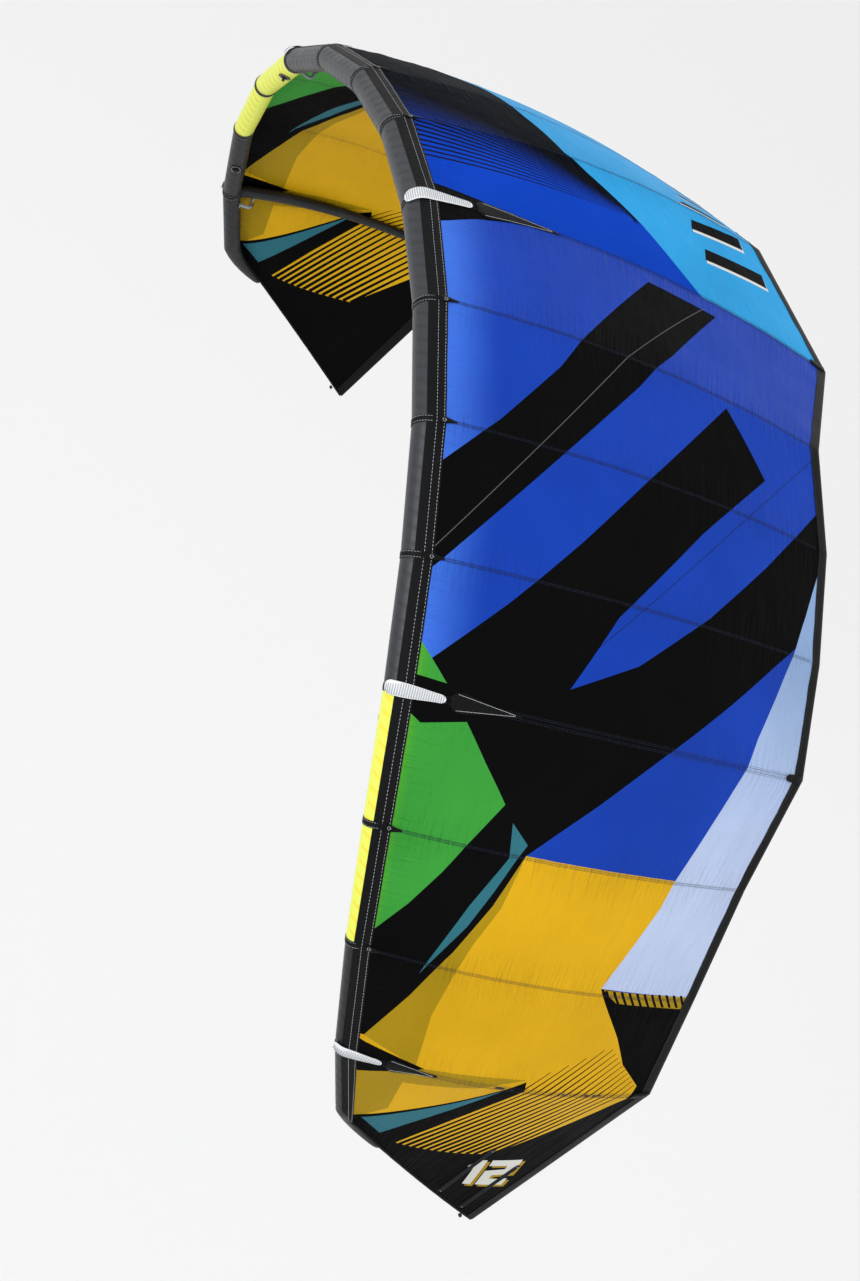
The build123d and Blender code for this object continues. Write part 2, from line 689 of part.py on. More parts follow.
def make_zip(ribs):
    """Zip tape on the tube's back, and its slider with a pull, on the right wing."""
    frame, length = zip_frame(ribs)
    lie = (Align.MIN, Align.CENTER, Align.MIN)
    tape = frame * Box(length, ZIP_WIDTH, ZIP_THICKNESS, align=lie)
    above = ZIP_THICKNESS + JOINT_GAP
    slider = Pos(0, 0, above) * Box(SLIDER_LENGTH, SLIDER_WIDTH, SLIDER_HEIGHT, align=lie)
    slider += Pos(SLIDER_LENGTH, 0, above + SLIDER_HEIGHT - PULL_THICKNESS) * Box(
        PULL_LENGTH, PULL_WIDTH, PULL_THICKNESS, align=lie)
    add("zip_tape", mirror(tape, Plane.YZ))
    add("zip_slider", mirror(frame * slider, Plane.YZ))


def build():
    """Makes every sub-part, centres the whole on its box and writes one file for each."""
    os.makedirs("parts", exist_ok=True)
    ribs = make_ribs()
    make_leading_edge(ribs)
    make_tip(ribs)
    make_canopy(ribs)
    make_struts(ribs)
    make_seam_bands(ribs)
    make_trim(ribs)
    make_line_attachments(ribs)
    make_valves(ribs)
    make_hoses(ribs)
    make_zip(ribs)
    everything = Compound([s for solids in PARTS.values() for s in solids])
    middle = everything.bounding_box().center()
    for name, solids in PARTS.items():
        moved = [s.translate(middle * -1) for s in solids]
        whole = Compound(moved) if len(moved) > 1 else moved[0]
        export_step(whole, f"parts/{name}.step")
    return ribs, middle


RIB_ROW, BOX_MIDDLE = build()
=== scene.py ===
"""Cloth, tubes, trim and finishes of an inflatable kite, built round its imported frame."""

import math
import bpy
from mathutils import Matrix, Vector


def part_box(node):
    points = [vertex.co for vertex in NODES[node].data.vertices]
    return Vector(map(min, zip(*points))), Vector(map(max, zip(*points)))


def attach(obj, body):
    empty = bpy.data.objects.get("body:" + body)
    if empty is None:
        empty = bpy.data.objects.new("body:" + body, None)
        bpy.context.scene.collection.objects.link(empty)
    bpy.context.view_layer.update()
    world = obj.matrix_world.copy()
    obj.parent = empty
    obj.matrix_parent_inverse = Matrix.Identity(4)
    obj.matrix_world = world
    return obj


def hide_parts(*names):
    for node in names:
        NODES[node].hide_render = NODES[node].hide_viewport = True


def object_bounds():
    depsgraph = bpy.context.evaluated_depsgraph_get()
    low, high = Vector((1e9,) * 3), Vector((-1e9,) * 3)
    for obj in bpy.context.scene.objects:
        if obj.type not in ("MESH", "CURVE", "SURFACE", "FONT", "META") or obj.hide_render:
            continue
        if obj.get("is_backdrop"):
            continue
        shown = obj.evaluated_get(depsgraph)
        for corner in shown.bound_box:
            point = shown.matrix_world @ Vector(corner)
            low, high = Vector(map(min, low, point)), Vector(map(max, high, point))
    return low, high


bl_info = {
    "name": "Inflatable Kite Looks",
    "version": (1, 0, 0),
    "blender": (4, 5, 0),
    "location": "3D View > Sidebar > Kite",
    "description": "Builds the cloth, tubes and trim of an inflatable kite round its frame",
    "category": "Add Mesh",
}

import bmesh
import bpy
from bpy.props import FloatProperty, FloatVectorProperty, IntProperty, PointerProperty
from mathutils import Vector, noise
from mathutils.geometry import delaunay_2d_cdt

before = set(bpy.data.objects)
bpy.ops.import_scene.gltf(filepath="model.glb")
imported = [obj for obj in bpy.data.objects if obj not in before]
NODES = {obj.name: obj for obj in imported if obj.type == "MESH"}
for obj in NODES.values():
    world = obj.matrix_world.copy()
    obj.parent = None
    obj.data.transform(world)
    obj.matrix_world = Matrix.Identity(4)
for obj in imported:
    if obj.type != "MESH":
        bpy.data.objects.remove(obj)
START_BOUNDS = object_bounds()
BODY = "wing"

# ---- the frame's rule, in metres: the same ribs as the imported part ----
HALF_SPAN_LENGTH = 3.6
TIP_DIHEDRAL, TIP_SWEEP, SWEEP_POWER, CURVE_STEPS = 88.5, 34.0, 1.9, 240
ROOT_CHORD = 1.86
RIBS = (  # share of the half length, share of the root chord, twist, toe, camber
    (0.000, 1.000, 0.0, 0.0, 0.045),
    (0.132, 0.885, 3.5, 2.0, 0.050),
    (0.260, 0.925, 1.0, -1.5, 0.055),
    (0.390, 0.935, -0.5, -3.5, 0.060),
    (0.514, 0.915, 0.0, -4.0, 0.060),
    (0.642, 0.810, 0.5, -5.0, 0.060),
    (0.767, 0.735, 1.0, -5.0, 0.060),
    (0.899, 0.670, 0.5, -5.5, 0.060),
    (1.000, 0.578, -3.0, 31.0, 0.015),
)
STRUT_RIBS = (0, 4, 7)
STRUT_NAMES = ("middle", "inner", "outer")
TUBE_RADIUS, TUBE_TIP_RADIUS = 0.063, 0.037
STRUT_RADIUS, STRUT_TAIL_RADIUS, STRUT_TAPER, STRUT_END = 0.040, 0.021, 0.72, 0.955
SKIN_LIFT, STRUT_GAP, SKIN_TOP = 0.0026, 0.0012, 0.0015
STRIP_WIDTH, BINDING_WIDTH = 0.042, 0.040
GORE_WIDTH, MEAN_CHORD = 0.45, 1.70  # what one rib step and one chord share are worth in metres
RIB_STEP = 0.4  # how far one rib step goes sideways, on the whole
PAD_NOSE_ANGLE, PAD_TAIL, PAD_HALF_WIDTH = 174, 0.180, 0.029
FAIRING_LENGTH, FAIRING_WIDTH = 0.345, 0.084
LOOP_ANGLE, ZIP_ANGLE = 262, 350  # round the tube, from the chord's back towards its outside
BATTEN_SHARES, POCKET_LENGTH = (0.70, 0.88), 0.350
CAMERA_PLACE = Vector((8.170, -5.740, 6.853))
CAMERA_RIGHT = Vector((0.13013, 0.8314, 0.54022))
CAMERA_UP = Vector((-0.75474, -0.27028, 0.59776))
DARK = (0.0, 0.0, 0.0, 1)
COLOUR, NUMBER, VECTOR = "NodeSocketColor", "NodeSocketFloat", "NodeSocketVector"

low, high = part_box("leading_edge_panel_1")
HUB = Vector((0, low.y + TUBE_RADIUS, high.z - TUBE_RADIUS))  # tube's centre at the middle


class Rib:
    """A station: tube centre, chord direction, outward direction and the skin's arc."""

    def __init__(self, share, chord, twist, toe, camber):
        dihedral, tangent = slope_at(share)
        out = Vector((math.sin(dihedral), 0, math.cos(dihedral)))
        along = Vector((math.cos(dihedral), 0, -math.sin(dihedral)))
        twist, toe = math.radians(twist), math.radians(toe)
        self.share, self.tangent = share, tangent
        self.centre = HUB + edge_point(share)
        self.radius = TUBE_RADIUS + (TUBE_TIP_RADIUS - TUBE_RADIUS) * share
        self.chord = chord = chord * ROOT_CHORD
        self.back = (
            out * math.sin(twist)
            + along * math.cos(twist) * math.sin(toe)
            + Vector((0, 1, 0)) * math.cos(twist) * math.cos(toe)
        )
        self.out = (out - self.back * out.dot(self.back)).normalized()
        self.side = self.back.cross(self.out)
        turn = math.radians(90) + math.atan(4 * camber) - math.asin(self.radius / chord)
        self.start_angle = math.degrees(turn)
        lift = self.radius + SKIN_LIFT
        x, y = lift * math.cos(turn), lift * math.sin(turn)
        span, rise = math.hypot(chord - x, y), camber * chord
        self.arc_radius = (span * span / 4 + rise * rise) / (2 * rise)
        self.arc_half = math.asin(span / 2 / self.arc_radius)
        self.arc_lean = math.atan2(-y, chord - x)
        down = self.arc_radius - rise
        self.arc_x = (x + chord) / 2 + down * math.sin(self.arc_lean)
        self.arc_y = y / 2 - down * math.cos(self.arc_lean)
        self.arc_length = 2 * self.arc_half * self.arc_radius

    def at(self, x, y, z=0.0):
        return self.centre + self.back * x + self.out * y + self.side * z

    def round_tube(self, reach, angle):
        turn = math.radians(angle)
        stretch = 1 / self.side.dot(self.tangent)
        return self.at(reach * stretch * math.cos(turn), reach * math.sin(turn))

    def skin(self, share, lift=0.0):
        angle = math.pi / 2 + self.arc_lean + self.arc_half * (1 - 2 * share)
        reach = self.arc_radius + lift
        return self.at(self.arc_x + reach * math.cos(angle), self.arc_y + reach * math.sin(angle))

    def skin_back(self, share):
        return (self.skin(share + 0.001) - self.skin(share - 0.001)).normalized()

    def skin_out(self, share):
        return self.side.cross(self.skin_back(share)).normalized()


def slope_at(share):
    dihedral = math.radians(TIP_DIHEDRAL) * share
    sweep = math.radians(TIP_SWEEP) * share**SWEEP_POWER
    across = math.cos(sweep)
    tangent = (math.cos(dihedral) * across, math.sin(sweep), -math.sin(dihedral) * across)
    return dihedral, Vector(tangent)


def edge_point(share):
    count = max(1, round(CURVE_STEPS * share))
    point = Vector()
    for i in range(count):
        point += slope_at((i + 0.5) * share / count)[1] * (share / count * HALF_SPAN_LENGTH)
    return point


ROW = [Rib(*rib) for rib in RIBS]


def mirrored(point, right):
    return Vector((-point.x, point.y, point.z)) if right else point


def side_name(right):
    return "right" if right else "left"


def wings(rib_number):
    """The wings that a rib is on, as whether each is the right one: the middle rib counts once."""
    return (False, True) if rib_number else (False,)


def ribs_at(place, last=7.9999):
    """The number of the rib inside a place, both ribs beside it and the share between them."""
    a = min(abs(place), last)
    i = int(a)
    return i, ROW[i], ROW[i + 1], a - i


def smooth(low, high, x):
    t = min(1.0, max(0.0, (x - low) / (high - low)))
    return t * t * (3 - 2 * t)


def ripple(place, share):
    """Small tension creases: across each seam, and in from both edges of the cloth."""
    a = abs(place)
    seam = math.exp(-abs(a - round(a)) * GORE_WIDTH / 0.055)
    front, rear = share * MEAN_CHORD, (1 - share) * MEAN_CHORD
    across = noise.noise(Vector((place * 2.2, share * 36, 1.7)))
    along = noise.noise(Vector((place * 7.0, share * 5, 8.3)))
    return (
        0.0030 * seam * across
        + 0.0034 * math.exp(-front / 0.11) * along
        + 0.0046 * math.exp(-rear / 0.14) * along
        + 0.0012 * noise.noise(Vector((place * 1.4, share * 7, 4.1)))
    )


def skin_way(place, share):
    """Outward direction of the cloth at a place counted in ribs, left positive."""
    _, rib, after, t = ribs_at(place, 7.999)
    way = rib.skin_out(share).lerp(after.skin_out(share), t).normalized()
    return mirrored(way, place < 0)


def skin_point(place, share, lift=0.0):
    """Point on the cloth, which crowns a little between two ribs and creases near its seams."""
    looks = bpy.context.scene.kite_canopy
    i, rib, after, t = ribs_at(place)
    point = mirrored(rib.skin(share, SKIN_TOP).lerp(after.skin(share, SKIN_TOP), t), place < 0)
    crown = looks.billow * math.sin(math.pi * t)
    crown *= math.sin(math.pi * min(1, max(0, share))) ** 0.7
    crown *= i < 7  # battens hold the last gore flat
    inside = smooth(0.0, 0.03, share) * smooth(0.0, 0.02, 1 - share) * smooth(8.0, 7.8, i + t)
    crease = looks.ripple * ripple(place, share) * inside
    return point + skin_way(place, share) * (crown + crease + lift)


def skin_spot(place, share, lift=0.0):
    """One entry of a stitch row: the point, its outward direction and its full reach."""
    return skin_point(place, share, lift), skin_way(place, share), 1.0


def tube_way(t, angle, rib, after):
    """Between two ribs: the tube's own direction, and the one that points out at an angle."""
    axis, turn = (after.centre - rib.centre).normalized(), math.radians(angle)
    radial = (rib.back.lerp(after.back, t) * math.cos(turn)
              + rib.out.lerp(after.out, t) * math.sin(turn))
    return axis, (radial - axis * radial.dot(axis)).normalized()


def moved(place, share, across):
    """The place reached by going a distance across the cloth, left positive."""
    a, going = abs(place), across if place >= 0 else -across
    i = min(7, int(a)) if going >= 0 else max(0, math.ceil(a) - 1)
    return place + across / (ROW[i + 1].skin(share) - ROW[i].skin(share)).length


# ---- making meshes ----
def piece_from(name, points, faces, materials, picks=None, corners=None, outward=None):
    """A mesh piece: picks gives a face's material, corners its UV in metres, outward its front."""
    mesh = bpy.data.meshes.new(name)
    mesh.from_pydata([tuple(p) for p in points], [], faces)
    for material in materials:
        mesh.materials.append(material)
    if picks:
        mesh.polygons.foreach_set("material_index", picks)
    if corners:
        layer = mesh.uv_layers.new(name="Cloth")
        layer.data.foreach_set("uv", [c for face in corners for corner in face for c in corner])
    mesh.shade_smooth()
    piece = bpy.data.objects.new(name, mesh)
    bpy.context.scene.collection.objects.link(piece)
    work = bmesh.new()
    work.from_mesh(mesh)
    bmesh.ops.remove_doubles(work, verts=work.verts, dist=1e-6)
    if outward is None:
        bmesh.ops.recalc_face_normals(work, faces=work.faces)
    else:
        wrong = [f for f in work.faces if f.normal.dot(outward(f.calc_center_median())) < 0]
        if len(wrong) > len(work.faces) / 2:
            bmesh.ops.reverse_faces(work, faces=work.faces)
    work.to_mesh(mesh)
    work.free()
    return piece


def lofted(name, rings, coords, materials, pick=None, closed=True, caps=False, outward=None):
    """A skin over rings of points. coords gives each ring's distance along and its girth."""
    size = len(rings[0])
    points = [p for ring in rings for p in ring]
    faces, corners, picks = [], [], []
    steps = size if closed else size - 1
    for i in range(len(rings) - 1):
        for k in range(steps):
            j = (k + 1) % size
            faces.append((i * size + k, i * size + j, (i + 1) * size + j, (i + 1) * size + k))
            (u, g), (v, h) = coords[i], coords[i + 1]
            a, b = k / steps, (k + 1) / steps
            corners.append(((u, g * a), (u, g * b), (v, h * b), (v, h * a)))
            picks.append(pick(i, k) if pick else 0)
    if caps:
        for i, (u, g) in ((0, coords[0]), (len(rings) - 1, coords[-1])):
            faces.append(tuple(i * size + k for k in range(size)))
            corners.append(tuple((u, g * k / size) for k in range(size)))
            picks.append(pick(min(i, len(rings) - 2), 0) if pick else 0)
    return piece_from(name, points, faces, materials, picks, corners, outward)


def ring_of(centre, way, back, radius, count, angle=0.0):
    """Points round a circle, the first towards back, counted from back towards its out side."""
    back = (back - way * back.dot(way)).normalized()
    out = way.cross(back)
    turns = [math.radians(angle) + 2 * math.pi * k / count for k in range(count)]
    return [centre + (back * math.cos(t) + out * math.sin(t)) * radius for t in turns]


def dense(outline, step_x, step_y):
    """The outline with points added, so that it follows the cloth's curve."""
    points = []
    for (x, y), (p, q) in zip(outline, outline[1:] + outline[:1]):
        count = max(1, math.ceil(max(abs(p - x) / step_x, abs(q - y) / step_y)))
        points += [(x + (p - x) * i / count, y + (q - y) * i / count) for i in range(count)]
    return points


def ride(piece, slot=None, *nodes):
    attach(piece, BODY)
    if nodes:
        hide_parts(*nodes)
    return piece


def thicken(piece, thickness, offset=1.0):
    solid = piece.modifiers.new("Thickness", "SOLIDIFY")
    solid.thickness, solid.offset, solid.use_even_offset = thickness, offset, False
    return piece


# ---- rows of small repeated pieces, by Geometry Nodes ----
def row_tree():
    """Places a small rod, bar or tooth at even steps along each row of a mesh's edges."""
    found = bpy.data.node_groups.get("Row Of Pieces")
    if found:
        return found
    tree = bpy.data.node_groups.new("Row Of Pieces", "GeometryNodeTree")
    face = tree.interface
    face.new_socket(name="Geometry", in_out="OUTPUT", socket_type="NodeSocketGeometry")
    face.new_socket(name="Geometry", in_out="INPUT", socket_type="NodeSocketGeometry")
    sizes = (("Spacing", 0.009), ("Length", 0.006), ("Width", 0.0012), ("Height", 0.0008))
    for name, value in sizes:
        socket = face.new_socket(name=name, in_out="INPUT", socket_type="NodeSocketFloat")
        socket.default_value, socket.min_value, socket.subtype = value, 0.0, "DISTANCE"
    face.new_socket(name="Sides", in_out="INPUT", socket_type="NodeSocketInt").default_value = 6
    face.new_socket(name="Material", in_out="INPUT", socket_type="NodeSocketMaterial")
    node, join = tree.nodes.new, tree.links.new
    start, end = node("NodeGroupInput"), node("NodeGroupOutput")
    curve, even = node("GeometryNodeMeshToCurve"), node("GeometryNodeResampleCurve")
    even.mode = "LENGTH"
    join(start.outputs["Geometry"], curve.inputs["Mesh"])
    join(curve.outputs["Curve"], even.inputs["Curve"])
    join(start.outputs["Spacing"], even.inputs["Length"])
    way, reach = node("GeometryNodeInputNamedAttribute"), node("GeometryNodeInputNamedAttribute")
    way.data_type, reach.data_type = "FLOAT_VECTOR", "FLOAT"
    way.inputs["Name"].default_value, reach.inputs["Name"].default_value = "face_way", "reach"
    tangent, turn = node("GeometryNodeInputTangent"), node("FunctionNodeAxesToRotation")
    turn.primary_axis, turn.secondary_axis = "Z", "X"
    join(tangent.outputs["Tangent"], turn.inputs["Primary Axis"])
    join(way.outputs["Attribute"], turn.inputs["Secondary Axis"])
    rod = node("GeometryNodeMeshCylinder")
    rod.inputs["Radius"].default_value, rod.inputs["Depth"].default_value = 0.5, 1.0
    join(start.outputs["Sides"], rod.inputs["Vertices"])
    wide, size = node("ShaderNodeMath"), node("ShaderNodeCombineXYZ")
    wide.operation = "MULTIPLY"
    join(start.outputs["Width"], wide.inputs[0])
    join(reach.outputs["Attribute"], wide.inputs[1])
    join(start.outputs["Height"], size.inputs["X"])
    join(wide.outputs[0], size.inputs["Y"])
    join(start.outputs["Length"], size.inputs["Z"])
    place = node("GeometryNodeInstanceOnPoints")
    join(even.outputs["Curve"], place.inputs["Points"])
    join(rod.outputs["Mesh"], place.inputs["Instance"])
    join(turn.outputs["Rotation"], place.inputs["Rotation"])
    join(size.outputs["Vector"], place.inputs["Scale"])
    real, paint = node("GeometryNodeRealizeInstances"), node("GeometryNodeSetMaterial")
    join(place.outputs["Instances"], real.inputs["Geometry"])
    join(real.outputs["Geometry"], paint.inputs["Geometry"])
    join(start.outputs["Material"], paint.inputs["Material"])
    join(paint.outputs["Geometry"], end.inputs["Geometry"])
    return tree


def rows_piece(name, rows, spacing, length, width, height, material, sides=6):
    """Bakes rows, each a list of (point, face direction, reach), into one plain mesh."""
    points, edges, ways, reaches = [], [], [], []
    for row in rows:
        for k, (point, way, reach) in enumerate(row):
            if k:
                edges.append((len(points) - 1, len(points)))
            points.append(tuple(point))
            ways += list(way)
            reaches.append(reach)
    mesh = bpy.data.meshes.new(name + "_rows")
    mesh.from_pydata(points, edges, [])
    mesh.attributes.new("face_way", "FLOAT_VECTOR", "POINT").data.foreach_set("vector", ways)
    mesh.attributes.new("reach", "FLOAT", "POINT").data.foreach_set("value", reaches)
    source = bpy.data.objects.new(name + "_rows", mesh)
    bpy.context.scene.collection.objects.link(source)
    tree = row_tree()
    modifier = source.modifiers.new("Row", "NODES")
    modifier.node_group = tree
    given = dict(Spacing=spacing, Length=length, Width=width, Height=height, Sides=sides,
                 Material=material)
    for item in tree.interface.items_tree:
        if item.in_out == "INPUT" and item.name in given:
            modifier[item.identifier] = given[item.name]
    bpy.context.view_layer.update()
    graph = bpy.context.evaluated_depsgraph_get()
    baked = bpy.data.meshes.new_from_object(source.evaluated_get(graph))
    baked.name = name
    source.modifiers.clear()
    bpy.data.objects.remove(source)
    if not baked.polygons:
        raise RuntimeError(f"{name} came out empty")
    baked.shade_smooth()
    piece = bpy.data.objects.new(name, baked)
    bpy.context.scene.collection.objects.link(piece)
    return piece


# ---- finishes ----
class Shades:
    """Short names for the nodes of one tree."""

    def __init__(self, tree):
        self.tree = tree

    def put(self, value, socket):
        if isinstance(value, bpy.types.NodeSocket):
            self.tree.links.new(value, socket)
        elif value is not None:
            socket.default_value = value

    def math(self, kind, a, b=None, c=None):
        node = self.tree.nodes.new("ShaderNodeMath")
        node.operation = kind
        for value, socket in zip((a, b, c), node.inputs):
            self.put(value, socket)
        return node.outputs[0]

    def mix(self, share, a, b, kind="MIX"):
        node = self.tree.nodes.new("ShaderNodeMix")
        node.data_type, node.blend_type = "RGBA", kind
        for value, name in ((share, 0), (a, 6), (b, 7)):
            self.put(value, node.inputs[name])
        return node.outputs[2]

    def noise(self, place, scale, detail=2.0, rough=0.5, stretch=None):
        if stretch:
            node = self.tree.nodes.new("ShaderNodeMapping")
            self.put(place, node.inputs["Vector"])
            node.inputs["Scale"].default_value = stretch
            place = node.outputs[0]
        node = self.tree.nodes.new("ShaderNodeTexNoise")
        for value, name in ((place, "Vector"), (scale, "Scale"), (detail, "Detail"),
                            (rough, "Roughness")):
            self.put(value, node.inputs[name])
        return node.outputs[0]

    def ramp(self, value, low, high, start=0.0, end=1.0):
        node = self.tree.nodes.new("ShaderNodeMapRange")
        for v, name in ((value, 0), (low, 1), (high, 2), (start, 3), (end, 4)):
            self.put(v, node.inputs[name])
        return node.outputs[0]

    def split(self, vector):
        node = self.tree.nodes.new("ShaderNodeSeparateXYZ")
        self.put(vector, node.inputs[0])
        return node.outputs

    def line(self, value, period, width):
        """1 on thin lines at each period of a distance."""
        away = self.math("PINGPONG", value, period / 2)
        return self.ramp(away, width, width * 0.5)

    def bump(self, height, strength, distance, normal=None):
        node = self.tree.nodes.new("ShaderNodeBump")
        node.inputs["Strength"].default_value = strength
        node.inputs["Distance"].default_value = distance
        self.put(height, node.inputs["Height"])
        self.put(normal, node.inputs["Normal"])
        return node.outputs[0]


def shade_group(name, inputs):
    """A group that gives a colour, roughness and normal, and the sockets of its two ends."""
    tree = bpy.data.node_groups.new(name, "ShaderNodeTree")
    for label, kind, value in inputs:
        socket = tree.interface.new_socket(name=label, in_out="INPUT", socket_type=kind)
        socket.default_value = value
    for label, kind in (("Colour", COLOUR), ("Roughness", NUMBER), ("Normal", VECTOR)):
        tree.interface.new_socket(name=label, in_out="OUTPUT", socket_type=kind)
    start, end = tree.nodes.new("NodeGroupInput"), tree.nodes.new("NodeGroupOutput")
    return tree, Shades(tree), start.outputs, end.inputs


def woven_group():
    """Ripstop cloth: fine threads, a stronger thread every few millimetres, soft mottling."""
    found = bpy.data.node_groups.get("Ripstop Weave")
    if found:
        return found
    tree, s, start, end = shade_group(
        "Ripstop Weave",
        (("Colour", COLOUR, (0.5, 0.5, 0.5, 1)), ("Second Colour", COLOUR, (0.4, 0.4, 0.4, 1)),
         ("Shade", NUMBER, 0.0), ("Cloth", VECTOR, (0, 0, 0)), ("Place", VECTOR, (0, 0, 0)),
         ("Seams", NUMBER, 0.0)),
    )
    u, v, _ = s.split(start["Cloth"])
    grid = s.math("MAXIMUM", s.line(u, 0.006, 0.0006), s.line(v, 0.006, 0.0006))
    thread = s.math("MULTIPLY", s.math("SINE", s.math("MULTIPLY", u, 5200.0)),
                    s.math("SINE", s.math("MULTIPLY", v, 5200.0)))
    cloud = s.noise(start["Place"], 2.6, 3.0)
    grain = s.noise(start["Place"], 420.0, 2.0)
    # dashed seam lines on both sides of each rib, over a darker band of seam tape
    step = s.math("PINGPONG", u, GORE_WIDTH / 2)
    edge = s.ramp(s.math("ABSOLUTE", s.math("SUBTRACT", step, 0.0045)), 0.0018, 0.0006)
    tape = s.ramp(step, 0.0085, 0.0070)
    dashes = s.ramp(s.math("PINGPONG", v, 0.016), 0.004, 0.006)
    sewn = s.math("MAXIMUM", s.math("MULTIPLY", edge, dashes), s.math("MULTIPLY", tape, 0.35))
    seam = s.math("MULTIPLY", start["Seams"], sewn)
    # Shade blends in the second colour: printed gradients on the dusk and pale cloth, a painted
    # highlight along the leading edge on the blue and green cloth
    tone = s.mix(start["Shade"], start["Colour"], start["Second Colour"])
    tone = s.mix(s.ramp(cloud, 0.3, 0.7, 0.0, 0.14), tone, DARK)
    tone = s.mix(s.ramp(grain, 0.35, 0.75, 0.0, 0.10), tone, DARK)
    tone = s.mix(s.math("MULTIPLY", grid, 0.10), tone, DARK)
    tone = s.mix(s.math("MULTIPLY", seam, 0.62), tone, (0.003, 0.006, 0.02, 1))
    s.put(tone, end["Colour"])
    s.put(s.math("ADD", s.ramp(cloud, 0.2, 0.8, 0.46, 0.62), s.math("MULTIPLY", grid, 0.08)),
          end["Roughness"])
    height = s.math("ADD", s.math("MULTIPLY", thread, 0.12), s.math("MULTIPLY", grid, 0.6))
    # gathers that run away from each seam, and back from the leading edge
    by_seam = s.math("MULTIPLY", s.noise(start["Cloth"], 1.0, 3.0, 0.55, (5.0, 58.0, 1.0)),
                     s.ramp(step, 0.15, 0.0))
    by_edge = s.math("MULTIPLY", s.noise(start["Cloth"], 1.0, 3.0, 0.55, (64.0, 5.0, 1.0)),
                     s.ramp(v, 0.26, 0.0))
    broad = s.math("MULTIPLY", s.noise(start["Cloth"], 1.0, 2.0, 0.5, (7.0, 15.0, 1.0)), 0.5)
    creases = s.math("MULTIPLY", s.math("ADD", broad, s.math("ADD", by_seam, by_edge)),
                     s.ramp(start["Seams"], 0.0, 0.5, 0.15, 1.0))
    wide = s.bump(creases, 1.0, 0.016)
    height = s.math("SUBTRACT", height, s.math("MULTIPLY", seam, 1.5))
    s.put(s.bump(height, 0.35, 0.0004, wide), end["Normal"])
    return tree


def tube_group():
    """Coated polyester of the tubes: plain weave, faint raised blocks, rub marks."""
    found = bpy.data.node_groups.get("Tube Cloth")
    if found:
        return found
    tree, s, start, end = shade_group(
        "Tube Cloth",
        (("Colour", COLOUR, (0.5, 0.5, 0.5, 1)), ("Print", COLOUR, (0.4, 0.4, 0.4, 1)),
         ("Cloth", VECTOR, (0, 0, 0)), ("Place", VECTOR, (0, 0, 0))),
    )
    u, v, _ = s.split(start["Cloth"])
    weave = s.math("MULTIPLY", s.math("SINE", s.math("MULTIPLY", u, 4200.0)),
                   s.math("SINE", s.math("MULTIPLY", v, 4200.0)))
    # faint slanted blocks along the tube
    slant = s.math("ADD", u, s.math("MULTIPLY", v, 0.45))
    block = s.math("MULTIPLY", s.line(slant, 0.052, 0.011),
                   s.ramp(s.math("PINGPONG", v, 0.045), 0.014, 0.017))
    bars = s.math("MAXIMUM", block, s.line(v, 0.090, 0.0016))
    rub = s.noise(start["Place"], 9.0, 5.0, 0.62)
    scuff = s.ramp(rub, 0.56, 0.72)
    tone = s.mix(s.math("MULTIPLY", bars, 0.6), start["Colour"], start["Print"])
    tone = s.mix(s.math("MULTIPLY", scuff, 0.03), tone, (0.5, 0.5, 0.5, 1))
    s.put(tone, end["Colour"])
    s.put(s.math("ADD", s.ramp(rub, 0.2, 0.8, 0.28, 0.46), s.math("MULTIPLY", bars, 0.08)),
          end["Roughness"])
    puckers = s.noise(start["Cloth"], 1.0, 4.0, 0.6, (60.0, 22.0, 1.0))
    wide = s.bump(puckers, 0.35, 0.003)
    height = s.math("ADD", s.math("MULTIPLY", weave, 0.3), bars)
    s.put(s.bump(height, 0.30, 0.0005, wide), end["Normal"])
    return tree


def finish_from(name, group, values, **sockets):
    """A material whose colour, roughness and normal come from a group over Cloth and Object."""
    found = bpy.data.materials.get(name)
    if found:
        return found
    material = bpy.data.materials.new(name)
    material.use_nodes = True
    tree = material.node_tree
    shader = next(n for n in tree.nodes if n.type == "BSDF_PRINCIPLED")
    node = tree.nodes.new("ShaderNodeGroup")
    node.node_tree = group
    texture = tree.nodes.new("ShaderNodeTexCoord")
    tree.links.new(texture.outputs["Object"], node.inputs["Place"])
    if "Cloth" in node.inputs:
        unrolled = tree.nodes.new("ShaderNodeUVMap")
        unrolled.uv_map = "Cloth"
        tree.links.new(unrolled.outputs[0], node.inputs["Cloth"])
    for label, value in values.items():
        node.inputs[label].default_value = value
    if "Shade" in node.inputs:
        attribute = tree.nodes.new("ShaderNodeAttribute")
        attribute.attribute_name = "shade"
        tree.links.new(attribute.outputs["Fac"], node.inputs["Shade"])
    tree.links.new(node.outputs["Colour"], shader.inputs["Base Color"])
    tree.links.new(node.outputs["Roughness"], shader.inputs["Roughness"])
    tree.links.new(node.outputs["Normal"], shader.inputs["Normal"])
    for label, value in sockets.items():
        shader.inputs[label.replace("_", " ")].default_value = value
    return material


def linear(red, green, blue):
    """A colour written 0 to 255 as shown on screen, as the shader's linear values."""
    def one(c):
        c /= 255
        return c / 12.92 if c <= 0.04045 else ((c + 0.055) / 1.055) ** 2.4

    return (one(red), one(green), one(blue), 1.0)


def cloth(name, colour, second=None, seams=1.0, sheen=0.03, gloss=0.10):
    return finish_from(name, woven_group(), {"Colour": colour, "Second Colour": second or colour,
                                             "Seams": seams},
                       Sheen_Weight=sheen, Sheen_Roughness=0.35, Specular_IOR_Level=gloss)


